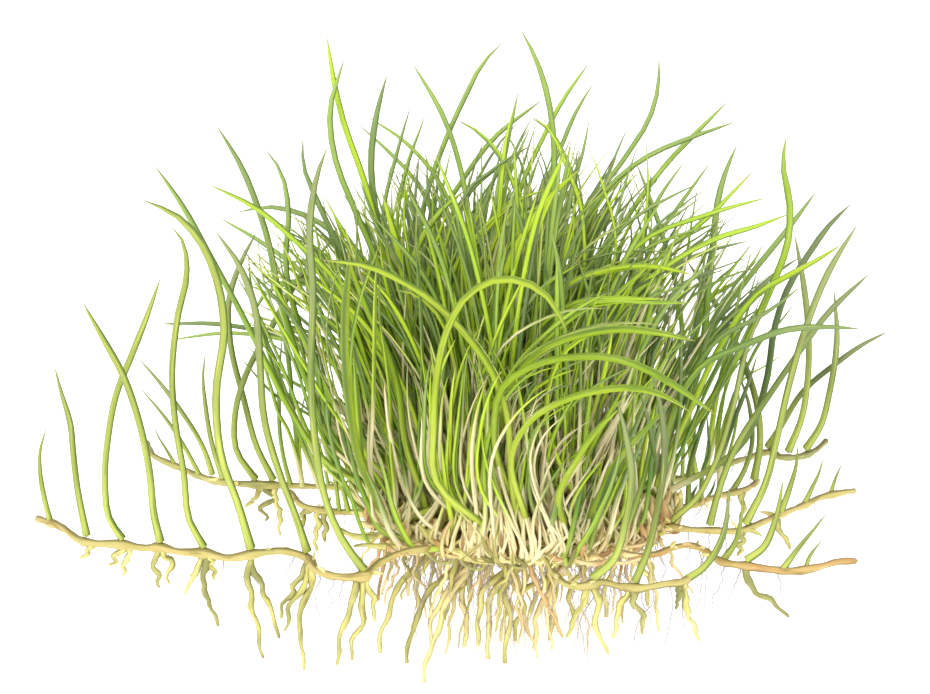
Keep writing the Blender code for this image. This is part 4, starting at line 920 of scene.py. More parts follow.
class Nodes:
    """A small helper that wires up one material."""

    def __init__(self, name):
        self.material = bpy.data.materials.new(name)
        self.material.use_nodes = True
        self.tree = self.material.node_tree
        self.shader = self.tree.nodes["Principled BSDF"]

    def add(self, kind, settings=(), **inputs):
        """Adds a node; inputs are values or outputs, by socket name with spaces as underscores."""
        node = self.tree.nodes.new("ShaderNode" + kind)
        for key, value in dict(settings).items():
            setattr(node, key, value)
        for key, value in inputs.items():
            numbered = key[0] == "i" and key[1:].isdigit()
            self.feed(node.inputs[int(key[1:]) if numbered else key.replace("_", " ")], value)
        return node

    def feed(self, socket, value):
        """Links an output to a socket or sets its value."""
        if isinstance(value, bpy.types.NodeSocket):
            self.tree.links.new(value, socket)
        else:
            socket.default_value = value

    def attribute(self, name):
        return self.add("Attribute", {"attribute_name": name}).outputs["Fac"]

    def math(self, operation, a, b=0.0, c=0.0, clamp=False):
        node = self.add("Math", {"operation": operation, "use_clamp": clamp}, i0=a, i1=b, i2=c)
        return node.outputs[0]

    def span(self, value, low, high, to_low=0.0, to_high=1.0):
        """Maps a range of values smoothly to another."""
        node = self.add("MapRange", {"interpolation_type": "SMOOTHSTEP"}, Value=value)
        node.inputs["From Min"].default_value = low
        node.inputs["From Max"].default_value = high
        node.inputs["To Min"].default_value = to_low
        node.inputs["To Max"].default_value = to_high
        return node.outputs[0]

    def ramp(self, value, stops):
        """Colours at places along 0 to 1."""
        node = self.add("ValToRGB", Fac=value)
        ramp = node.color_ramp
        while len(ramp.elements) < len(stops):
            ramp.elements.new(0.5)
        for element, (place, colour) in zip(ramp.elements, stops):
            element.position = place
            element.color = (*linear(colour), 1)
        return node.outputs[0]

    def mix(self, share, a, b, mode="MIX"):
        node = self.add("Mix", {"data_type": "RGBA", "blend_type": mode})
        self.feed(node.inputs[0], share)
        self.feed(node.inputs[6], a if isinstance(a, bpy.types.NodeSocket) else (*linear(a), 1))
        self.feed(node.inputs[7], b if isinstance(b, bpy.types.NodeSocket) else (*linear(b), 1))
        return node.outputs[2]

    def noise(self, vector, scale, detail=2.0, roughness=0.5):
        return self.add("TexNoise", Vector=vector, Scale=scale, Detail=detail, Roughness=roughness).outputs[0]

    def bump(self, height, strength, distance):
        node = self.add("Bump", Height=height, Strength=strength, Distance=distance)
        self.tree.links.new(node.outputs[0], self.shader.inputs["Normal"])


def linear(colour):
    """An sRGB colour of 0 to 255 as linear values."""
    return [((c / 255 + 0.055) / 1.055) ** 2.4 if c > 10 else c / 255 / 12.92 for c in colour]


def streak_vector(look, width, length):
    """Coordinates drawn out along a tube, with its own place for each tube."""
    around = look.math("MULTIPLY", look.attribute("around"), width)
    along = look.math("MULTIPLY", look.attribute("along"), length)
    place = look.math("MULTIPLY", look.attribute("tone"), 57.0)
    return look.add("CombineXYZ", X=around, Y=along, Z=place).outputs[0]


def stem_material():
    """Green stems: pale at the foot, partly a painted light over the lower half; lime or deep green by tone; a
    painted shade along both side edges, heavier on the +X side; dry at the tip.
    """
    look = Nodes("stem")
    along = look.attribute("along")
    share = look.attribute("share")
    tone = look.attribute("tone")
    kind = look.attribute("kind")
    streaks = look.noise(streak_vector(look, 1.6, 0.10), 1.0, 3.0)
    blotches = look.noise(streak_vector(look, 0.2, 0.05), 1.0, 1.0)
    shade = look.math("ADD", tone, look.math("MULTIPLY", look.math("SUBTRACT", blotches, 0.5), 0.35), clamp=True)
    body = look.ramp(shade, (
        (0.0, (72, 98, 52)), (0.2, (108, 152, 56)), (0.45, (164, 204, 62)), (0.7, (192, 224, 56)),
        (0.88, (208, 234, 56)), (1.0, (222, 242, 84))))
    dark = look.math("MAXIMUM", look.span(share, 0.3, 0.8, 0, 0.35), look.span(kind, 0, 0.5))
    body = look.mix(dark, body, (184, 188, 150), "MULTIPLY")
    olive = look.math("MULTIPLY", look.span(kind, 0.6, 1.0, 0, 0.7), look.span(tone, 0, 0.4, 0.4, 1))
    body = look.mix(olive, body, (160, 164, 88))
    # The pale stems (kind below 0) turn pale yellow: a painted light that stands in for the light seen between
    # the stems inside the clump.
    body = look.mix(look.span(kind, -0.1, -0.3, 0, 0.8), body, (232, 240, 132))
    # Painted light: the lower half of each stem is mixed towards pale yellow, most at the foot, to lift the
    # shade deep in the clump.
    body = look.mix(look.span(share, 0.5, 0.05, 0, 0.4), body, (216, 226, 108))
    body = look.mix(look.span(streaks, 0.55, 0.75, 0, 0.6), body, (204, 214, 100))
    body = look.mix(look.span(streaks, 0.45, 0.28, 0, 0.65), body, (70, 104, 44))
    grey = look.math("MULTIPLY", look.span(share, 0.35, 0.85), look.span(tone, 0.75, 0.4, 0, 0.55))
    body = look.mix(grey, body, (146, 156, 110))
    # Painted shade along the two side edges of each stem, the sides that face +X and -X: darker on the +X side,
    # away from the key light, lighter on the -X side, and weaker near the foot.
    around = look.attribute("around")
    free = look.math("MAXIMUM", look.span(share, 0.3, 0.7, 0.7, 1.0), look.span(kind, 0.5, 1.0, 0.7, 1.0))
    rim = look.math("MULTIPLY", look.span(around, 0.35, 0.9, 0, 1), look.span(free, 0.7, 1.0, 0.6, 0.85))
    body = look.mix(rim, body, (80, 106, 46))
    rim = look.math("MULTIPLY", look.span(around, -0.55, -0.95, 0, 1), look.span(free, 0.7, 1.0, 0.25, 0.65))
    body = look.mix(rim, body, (92, 118, 50))
    foot_colour = look.ramp(streaks, (
        (0.28, (176, 152, 100)), (0.4, (222, 206, 150)), (0.5, (240, 232, 190)), (0.6, (238, 222, 188)),
        (0.72, (226, 226, 140))))
    own = look.math("FRACT", look.math("MULTIPLY", tone, 431.7))
    reach = look.math("ADD", along, look.math("MULTIPLY", look.math("SUBTRACT", streaks, 0.5), 22.0))
    reach = look.math("SUBTRACT", reach, look.span(own, 0.38, 0.28, 3, 18))
    reach = look.math("ADD", reach, look.math("MULTIPLY", kind, 60.0))
    body = look.mix(look.span(reach, 0, 9, 1, 0), body, foot_colour)
    body = look.mix(look.span(share, 0.95, 1.0, 0, 0.6), body, (150, 140, 84))
    look.feed(look.shader.inputs["Base Color"], body)
    look.feed(look.shader.inputs["Roughness"], look.span(streaks, 0.3, 0.7, 0.62, 0.42))
    look.shader.inputs["Specular IOR Level"].default_value = 0.25
    look.bump(streaks, 0.35, 0.0002)
    return look.material


def runner_material():
    """Runners: straw to tan, wrinkled lengthwise, darker below and at the edges."""
    look = Nodes("runner")
    tone = look.attribute("tone")
    streaks = look.noise(streak_vector(look, 1.2, 0.25), 1.0, 4.0)
    patches = look.noise(streak_vector(look, 0.3, 0.12), 1.0, 2.0)
    shade = look.math("ADD", tone, look.math("MULTIPLY", look.math("SUBTRACT", patches, 0.5), 0.9), clamp=True)
    body = look.ramp(shade, (
        (0.0, (146, 150, 86)), (0.3, (188, 178, 104)), (0.6, (198, 176, 106)), (0.85, (188, 148, 86)),
        (1.0, (160, 118, 66))))
    body = look.mix(look.span(streaks, 0.55, 0.75, 0, 0.55), body, (226, 212, 150))
    body = look.mix(look.span(streaks, 0.45, 0.3, 0, 0.65), body, (128, 106, 60))
    edge = look.math("ABSOLUTE", look.attribute("around"))
    body = look.mix(look.span(edge, 0.5, 0.92, 0, 0.8), body, (112, 98, 54))
    look.feed(look.shader.inputs["Base Color"], body)
    look.feed(look.shader.inputs["Roughness"], look.span(streaks, 0.3, 0.7, 0.75, 0.5))
    look.bump(streaks, 0.5, 0.0003)
    return look.material


def root_material():
    """Roots: pale yellow to straw, browner in patches and along the edges."""
    look = Nodes("root")
    tone = look.attribute("tone")
    streaks = look.noise(streak_vector(look, 1.0, 0.3), 1.0, 3.0)
    patches = look.noise(streak_vector(look, 0.3, 0.15), 1.0, 2.0)
    shade = look.math("ADD", tone, look.math("MULTIPLY", look.math("SUBTRACT", patches, 0.5), 0.8), clamp=True)
    body = look.ramp(shade, (
        (0.0, (140, 142, 82)), (0.18, (204, 198, 114)), (0.4, (236, 224, 152)), (0.65, (238, 214, 160)),
        (0.85, (204, 162, 104)), (1.0, (158, 116, 70))))
    body = look.mix(look.span(streaks, 0.45, 0.3, 0, 0.55), body, (138, 122, 66))
    body = look.mix(look.span(streaks, 0.58, 0.75, 0, 0.5), body, (230, 218, 166))
    edge = look.math("ABSOLUTE", look.attribute("around"))
    body = look.mix(look.span(edge, 0.55, 0.95, 0, 0.7), body, (128, 114, 62))
    look.feed(look.shader.inputs["Base Color"], body)
    look.feed(look.shader.inputs["Roughness"], look.span(streaks, 0.3, 0.7, 0.8, 0.6))
    look.bump(streaks, 0.4, 0.0002)
    return look.material


def hair_material():
    """Hair roots: grey violet, thin."""
    look = Nodes("hair_root")
    streaks = look.noise(streak_vector(look, 1.0, 0.4), 1.0, 2.0)
    body = look.ramp(streaks, ((0.3, (142, 128, 140)), (0.5, (182, 170, 178)), (0.7, (206, 196, 196))))
    look.feed(look.shader.inputs["Base Color"], body)
    look.feed(look.shader.inputs["Roughness"], look.span(streaks, 0.3, 0.7, 0.8, 0.6))
    look.bump(streaks, 0.2, 0.0001)
    return look.material


def stem_shape(width, share, length):
    """A stem's radius along it: a slightly swollen foot, an even body and a short drawn-out tip."""
    foot = 1 + 0.3 * np.exp(-share * length / 3.0)
    reach = np.clip((1 - share) * length / 9.0, 0.0, 1.0)
    return np.maximum(width / 2 * foot * reach**0.55, 0.05)


def stem_tube(bundle, path, width, tone, kind=0.0, hidden=0.0):
    """One stem."""
    share, length = arc_fractions(path)
    bundle.tube(path, stem_shape(width, share, length), tone=tone, kind=kind, hidden=hidden)


def stem_tone(draw, path, spread=0.25):
    """A tone from 0, deep green, to 1, lime: brighter at the front, deeper at the back, a painted shade on the
    stems that stand further back in the clump.
    """
    front = np.clip((10 - path[len(path) // 2][1]) / 40, 0, 1)
    return float(np.clip(0.46 + 0.26 * front + draw.gauss(0, spread), 0.02, 0.98))


def fill_stems(draw, layout, crown_tree):
    """Stems between the traced ones, by tuft. Each grows from its own place on the crown, follows the stems
    round it, and ends inside the dense part of the clump."""
    feet = {name: np.array(TUFTS[name].foot, float) for name in layout["tufts"]}
    grown = {name: [] for name in feet}
    centre = np.array(CROWN_CENTRE)
    size = np.array((CROWN_RADIUS[0], CROWN_RADIUS[1], 0.0))
    made = 0
    while made < FILL_STEMS:
        first = draw.choice(list(feet))
        spot = (feet[first] - centre[:2]) * draw.uniform(0.35, 1.1) + (draw.gauss(0, 1.8), draw.gauss(0, 1.8))
        if spot[0] > 6 and spot[1] < 4 and draw.random() < 0.55:
            continue
        turn = math.atan2(spot[1] / size[1], spot[0] / size[0])
        reach = min(0.98, float(np.hypot(*(spot / size[:2]))))
        at_rim = reach > 0.85 or draw.random() < 0.2
        if at_rim:
            reach = draw.uniform(0.85, 1.0)
        out = np.array((math.cos(turn), math.sin(turn), 0.0))
        place = centre + out * size * reach * 0.96
        loose = draw.random() < (0.42 if spot[0] < -8 else 0.3)
        outline = LOOSE_OUTLINE if loose else DENSE_OUTLINE
        near = sorted(feet, key=lambda name: np.linalg.norm(feet[name] - feet[first]))[:5]
        second = draw.choice(near)
        guides = [draw.choice(layout["tufts"][name])[0] for name in (first, second)]
        weight = draw.uniform(0, 0.6)
        path = guides[0] * (1 - weight) + guides[1] * weight
        share = np.linspace(0, 1, len(path))[:, None]
        hit = crown_tree.ray_cast(Vector((place[0], place[1], 60)) * MM, Vector((0, 0, -1)))[0]
        height = hit.z / MM if hit else centre[2]
        foot = np.array((place[0], place[1], height - 0.3))
        drift = np.array((draw.gauss(0, 3.5) + 0.3 * max(0.0, spot[0]), draw.gauss(0, 3.0), 0.0))
        bow = np.array((draw.gauss(0, 1.6), draw.gauss(0, 1.6), 0.0))
        if "front" in first or "front" in second:
            drift[1] = abs(drift[1]) + 1.5
            bow[1] = abs(bow[1]) + 1.0
        path = path + (foot - path[0]) * (1 - share) ** 1.6 + share**1.5 * drift + np.sin(share * math.pi) * bow
        keep = draw.uniform(0.75, 1.0) if loose else draw.uniform(0.4, 1.0)
        if "front_edge" in first or "front_edge" in second:
            keep *= 0.6
        cut = int(round(len(path) * keep))
        while cut > 5 and not all(inside(pixel_of(point), outline) for point in path[cut - 3:cut]):
            cut -= 1
        if cut <= 6:
            continue
        path = path[:cut]
        if at_rim:
            later = [point for point in path if point[2] > centre[2] + 5]
            if len(later) > 3:
                path = smooth([*wrapped_foot(draw, centre, size, turn), *later], FILL_STEPS + 6)
        else:
            path = smooth(path, FILL_STEPS)
        # Pale stems, only away from the rim and more often on the left of the crown, and tones raised on that
        # left: painted light that lifts the shade inside the clump, most in its shaded left part.
        pale = not at_rim and draw.random() < (0.42 if spot[0] < -5 else 0.26)
        width = draw.uniform(0.35, 0.6) if loose else draw.uniform(0.42, 0.85)
        tone = stem_tone(draw, path) + (0.15 if spot[0] < -5 else 0) - (0.15 if loose else 0)
        tone = min(0.98, max(0.02, tone))
        grown[first].append((
            path, width * (0.8 if pale else 1), tone, -0.3 if pale else 0.0, HIDDEN_FOOT if at_rim else 0.0))
        made += 1
    return grown


def wrapped_foot(draw, centre, size, turn):
    """The foot of a stem at the crown's rim: it comes from under the crown and round its side. At the front
    the feet draw together below."""
    pull = 0.0
    if math.sin(turn) < 0.2:
        aim = math.radians(-118)
        pull = ((aim - turn + math.pi) % (2 * math.pi) - math.pi) * draw.uniform(0.0, 0.3)
    points = []
    for reach, drop, share in ((0.5, -3.5, 1.0), (0.76, -2.3, 0.7), (0.93, -0.9, 0.35), (1.0, 0.6, 0.0)):
        angle = turn + pull * share
        out = np.array((math.cos(angle), math.sin(angle), 0.0))
        points.append(centre + out * (size * reach + draw.uniform(0.1, 0.7)) + (0, 0, drop))
    return points


def wavy(path, draw, steps, reach):
    """A root's path with small bends in it; its ends stay where they are."""
    path = smooth(path, steps)
    share = np.linspace(0, 1, steps + 1)
    wave = np.zeros_like(path)
    for turns in (1.5, 2.7, 4.3):
        push = np.array((draw.gauss(0, 1), draw.gauss(0, 0.8), 0)) * reach / turns
        wave += np.sin(share * turns * 2 * math.pi + draw.uniform(0, 6))[:, None] * push
    return path + wave * (np.sin(share * math.pi) ** 0.7)[:, None]


def root_tube(bundle, path, width, tone, draw, blunt=0.45, sides=6):
    """One root: knotted, tapering to a blunt tip."""
    share, length = arc_fractions(path)
    knots = 1 + 0.14 * np.sin(share * length * 1.3 + draw.uniform(0, 6)) + 0.08 * np.sin(share * length * 3.1)
    radii = width / 2 * knots * (1 - (1 - blunt) * share**1.6)
    bundle.tube(path, radii, sides=sides, tone=tone)


def build_layout(crown_tree):
    """The paths of the CAD model: stems by node, coarse and fine, runners and roots."""
    draw = random.Random(7)
    thicket = Thicket()
    runner_paths = {name: runner_path(runner, crown_tree) for name, runner in RUNNERS.items()}
    layout = {"runners": runner_paths, "short": {}, "small_roots": {}, "roots": {}, "shoots": {}, "tufts": {}}
    for name, runner in RUNNERS.items():
        path = runner_paths[name]
        lines = [(path, runner.width / 2)]
        layout["short"][name] = []
        layout["small_roots"][name] = []
        for shoot in runner.shoots:
            foot = nearest_on(path, shoot.foot)
            points = traced(foot, shoot.route, shoot.tip_depth)
            lines.append((smooth(points, 4), shoot.width / 2))
            layout["short"][name].append((smooth(points, FINE_STEPS), shoot.width, shoot.route[-1]))
        for route in runner.roots:
            top = nearest_on(path, route[0])
            lines.append((root_path(top, route[1:], max(3, len(route) - 1)), ROOT_WIDTH / 2))
            layout["small_roots"][name].append([top] + [seen_at(pixel, top[1]) for pixel in route[1:]])
        thicket.add(lines)
    for name, bundle in ROOTS.items():
        x, y = bundle.place
        ceiling = crown_face(crown_tree, bundle.place, -1) - GAP
        centre = np.array((x, y, ceiling - KNOB_HEIGHT / 2))
        lines = []
        count = len(bundle.standing) + len(bundle.hanging)
        for i in range(count):
            turn = 2 * math.pi * i / count
            top = centre + np.array((0.9 * math.cos(turn), 0.9 * math.sin(turn), -0.2))
            if i < len(bundle.standing):
                lines.append((standing_root(top, bundle.standing[i]), ROOT_WIDTH / 2))
            else:
                lines.append((root_path(top, bundle.hanging[i - len(bundle.standing)], 4), ROOT_WIDTH / 2))
        layout["roots"][name] = (centre, [path for path, _ in lines])
        thicket.add(lines)
    for name, (runner_name, shoot) in SHOOTS.items():
        runner = RUNNERS[runner_name]
        lift = np.array((0, 0, runner.width / 2 + GAP + 0.15))
        foot = nearest_on(runner_paths[runner_name], shoot.foot) + lift
        steps = BENT_STEPS if len(shoot.route) >= BENT_STEMS_FROM else SHOOT_STEPS
        shift = clear_shift(thicket, foot, shoot.width, shoot.tip_depth, shoot.route, steps)
        points = traced(foot, shoot.route, shoot.tip_depth + shift)
        thicket.add([(smooth(points, steps), shoot.width / 2)])
        layout["shoots"][name] = (smooth(points, FINE_STEPS), shoot.width, shoot.route[-1])
    for name, tuft in TUFTS.items():
        x, y = tuft.foot
        floor = crown_face(crown_tree, tuft.foot, 1) + GAP
        lines = []
        stems = []
        for blade, turn in zip(order_round(tuft), turns_round(tuft)):
            foot = np.array((
                x + FOOT_SPREAD * math.cos(turn), y + FOOT_SPREAD * math.sin(turn),
                floor + SHEATH_HEIGHT * 0.45))
            if blade:
                width = blade.width
                steps = BENT_STEPS if len(blade.route) >= BENT_STEMS_FROM else STEM_STEPS
                shift = clear_shift(thicket, foot, width, blade.tip_depth, blade.route, steps)
                points = traced(foot, blade.route, blade.tip_depth + shift)
                path, fine = smooth(points, steps), smooth(points, FINE_STEPS)
            else:
                width = 0.8
                path = clear_plain_stem(thicket, draw, foot, width)
                fine = smooth(path, FINE_STEPS)
            lines.append((path, width / 2))
            stems.append((fine, width, blade.route[-1] if blade else None))
            thicket.add(lines[-1:], start=FOOT_BEADS)
        thicket.add(lines, stop=FOOT_BEADS)
        layout["tufts"][name] = stems
    return layout


def crown_tree_of(node):
    """A search tree over the CAD crown, in metres."""
    shape = bmesh.new()
    shape.from_mesh(node.data)
    tree = BVHTree.FromBMesh(shape)
    shape.free()
    return tree


def lie_on(crown_tree, x, y, side, lift):
    """The point over the crown's face nearest to a place over (side 1) or under it, lifted by a distance."""
    hit = crown_tree.find_nearest(Vector((x, y, CROWN_CENTRE[2] + side * 3.2)) * MM)
    return np.array(hit[0]) / MM + np.array(hit[1]) * lift


def on_crown(crown_tree, pixel, lift, beside=False):
    """The point of the crown that is seen at a pixel, lifted off the crown's face. Where none is seen there, it
    is the nearest one, or the point beside the crown at the same height."""
    hit, normal = crown_tree.ray_cast(Vector(EYE) * MM, Vector(sight(*pixel)).normalized())[:2]
    if hit is None and beside:
        return seen_at_height(pixel, CROWN_CENTRE[2])
    if hit is None:
        hit, normal = crown_tree.find_nearest(Vector(seen_at_height(pixel, RUNNER_HEIGHT)) * MM)[:2]
    return np.array(hit) / MM + np.array(normal) * lift


def grown_from_crown(crown_tree, points, reach):
    """A scrap's points. Where none is within reach of the crown, they start from the crown's face."""
    homes = [np.array(crown_tree.find_nearest(Vector(point) * MM)[0]) / MM for point in points]
    gaps = [np.linalg.norm(home - point) for home, point in zip(homes, points)]
    if min(gaps) <= reach:
        return points
    return [homes[0], *points] if gaps[0] <= gaps[-1] else [*points, homes[-1]]


def crown_mat(draw, crown_tree, look):
    """The crown's surface: short rhizomes and leaf bases laid over one another all round the mat."""
    mat = Bundle(30)
    centre = np.array(CROWN_CENTRE)
    for i in range(760):
        turn = draw.uniform(0, 2 * math.pi)
        reach = draw.uniform(0.1, 1.0) ** 0.5 * 1.02
        side = 1 if draw.random() < 0.5 else -1
        x = centre[0] + CROWN_RADIUS[0] * reach * math.cos(turn)
        y = centre[1] + CROWN_RADIUS[1] * reach * math.sin(turn)
        heading = turn + draw.gauss(0, 1.0)
        bend = draw.gauss(0, 0.12)
        length = draw.uniform(3, 12)
        points = [np.array((x, y))]
        for k in range(4):
            heading += bend * length / 4
            points.append(points[-1] + np.array((math.cos(heading), math.sin(heading))) * length / 4)
        points = [lie_on(crown_tree, px, py, side, draw.uniform(0.0, 1.0)) for px, py in points]
        if min(np.linalg.norm(b - a) for a, b in zip(points, points[1:])) < 0.1:
            continue
        path = smooth(points, 8)
        share = np.linspace(0, 1, 9)
        width = draw.choice((0.45, 0.6, 0.8, 1.0, 1.3))
        radii = width / 2 * (1 - 0.7 * share**2) * (1 + 0.2 * np.sin(share * 9 + draw.uniform(0, 6)))
        mat.tube(path, radii, tone=min(0.98, max(0.02, draw.gauss(0.5, 0.26))))
    for i in range(170):
        turn = draw.uniform(0, 2 * math.pi)
        reach = draw.uniform(0.5, 1.0)
        x = centre[0] + CROWN_RADIUS[0] * reach * math.cos(turn)
        y = centre[1] + CROWN_RADIUS[1] * reach * math.sin(turn)
        foot = lie_on(crown_tree, x, y, 1, -0.2)
        out = np.array((math.cos(turn), math.sin(turn), 0))
        top = foot + out * draw.uniform(-1, 3) + (draw.gauss(0, 1), draw.gauss(0, 1), draw.uniform(2.5, 6))
        middle = (foot + top) / 2 + out * draw.uniform(0, 1.2)
        path = smooth((foot, middle, top), 7)
        share = np.linspace(0, 1, 8)
        radii = draw.uniform(0.5, 0.9) * np.sin(math.pi * (0.25 + 0.72 * share)) + 0.03
        mat.tube(path, radii, tone=min(0.9, max(0.02, draw.gauss(0.42, 0.24))), start=-out, flat=0.3)
    for i in range(150):
        turn = draw.uniform(0, 2 * math.pi)
        out = np.array((math.cos(turn), math.sin(turn), 0))
        beside = np.array((-out[1], out[0], 0))
        rim = np.array((*CROWN_RADIUS, 0)) * draw.uniform(0.96, 1.02)
        foot = centre + out * rim + (0, 0, draw.uniform(-2, 1))
        top = foot + out * draw.uniform(0.2, 1.6) + beside * draw.gauss(0, 1.6) + (0, 0, draw.uniform(0.5, 5))
        path = smooth((foot, (foot + top) / 2 + out * draw.uniform(0.2, 0.9), top), 7)
        share = np.linspace(0, 1, 8)
        radii = draw.uniform(0.4, 0.9) * np.sin(math.pi * (0.2 + 0.74 * share)) + 0.03
        mat.tube(path, radii, tone=min(0.98, max(0.02, draw.gauss(0.55, 0.28))), start=-out, flat=0.4)
    for width, tone, route in RHIZOME_BITS:
        points = [on_crown(crown_tree, pixel, MAT_RISE + width / 2, True) for pixel in route]
        path = smooth(grown_from_crown(crown_tree, points, MAT_RISE + width), 12)
        share = np.linspace(0, 1, 13)
        radii = width / 2 * (0.55 + 0.45 * np.sin(math.pi * share)) * (1 + 0.12 * np.sin(share * 11 + width * 9))
        mat.tube(path, radii, tone=tone, start=(0, 0, 1))
    return mat.piece("crown_mat", look)


def dress_crown(node, look):
    """The solid crown under the mat gets the same straw colours."""
    node.data.materials.clear()
    node.data.materials.append(look)


def crown_core_material():
    """What shows between the rhizomes: cream and straw with small dark brown flecks."""
    look = Nodes("crown_core")
    place = look.add("TexCoord").outputs["Object"]
    patches = look.noise(place, 420.0, 4.0)
    fine = look.noise(place, 1500.0, 3.0)
    body = look.ramp(patches, (
        (0.3, (152, 122, 70)), (0.45, (208, 180, 106)), (0.55, (232, 216, 146)), (0.7, (240, 232, 180))))
    body = look.mix(look.span(fine, 0.5, 0.35, 0, 0.5), body, (120, 92, 50))
    look.feed(look.shader.inputs["Base Color"], body)
    look.feed(look.shader.inputs["Roughness"], look.span(fine, 0.3, 0.7, 0.9, 0.7))
    look.bump(patches, 0.8, 0.0006)
    return look.material


def studio():
    """White surroundings, a pale floor, two soft lights and the camera."""
    world = bpy.data.worlds.new("studio")
    world.use_nodes = True
    world.node_tree.nodes["Background"].inputs["Color"].default_value = (1, 1, 1, 1)
    world.node_tree.nodes["Background"].inputs["Strength"].default_value = 1.02
    bpy.context.scene.world = world
    bpy.context.scene.view_settings.view_transform = "Standard"
    floor = bpy.data.meshes.new("floor")
    floor.from_pydata([(-4, -4, 0), (4, -4, 0), (4, 4, 0), (-4, 4, 0)], [], [(0, 1, 2, 3)])
    ground = bpy.data.objects.new("floor", floor)
    bpy.context.scene.collection.objects.link(ground)
    look = Nodes("floor")
    grain = look.noise(look.add("TexCoord").outputs["Object"], 300.0)
    paper = look.ramp(grain, ((0.3, (248, 248, 248)), (0.7, (254, 254, 254))))
    look.feed(look.shader.inputs["Base Color"], paper)
    look.shader.inputs["Roughness"].default_value = 0.9
    look.shader.inputs["Specular IOR Level"].default_value = 0.0
    look.shader.inputs["Emission Color"].default_value = (1, 1, 1, 1)
    look.shader.inputs["Emission Strength"].default_value = 0.55
    floor.materials.append(look.material)
    for name, place, size, power in (
        ("key", (-0.5, -0.7, 0.9), 0.6, 6.5), ("fill", (0.8, -0.4, 0.6), 0.8, 2.5),
    ):
        light = bpy.data.lights.new(name, "AREA")
        light.size = size
        light.energy = power
        lamp = bpy.data.objects.new(name, light)
        lamp.location = place
        lamp.rotation_mode = "QUATERNION"
        lamp.rotation_quaternion = (Vector((0, 0, 0.04)) - Vector(place)).to_track_quat("-Z", "Y")
        bpy.context.scene.collection.objects.link(lamp)
    lens = bpy.data.cameras.new("camera")
    lens.lens = 100
    lens.sensor_width = 36
    camera = bpy.data.objects.new("camera", lens)
    camera.location = Vector(EYE) * MM
    camera.rotation_euler = (math.pi / 2 - VIEW_TILT, 0, 0)
    bpy.context.scene.collection.objects.link(camera)
    bpy.context.scene.camera = camera


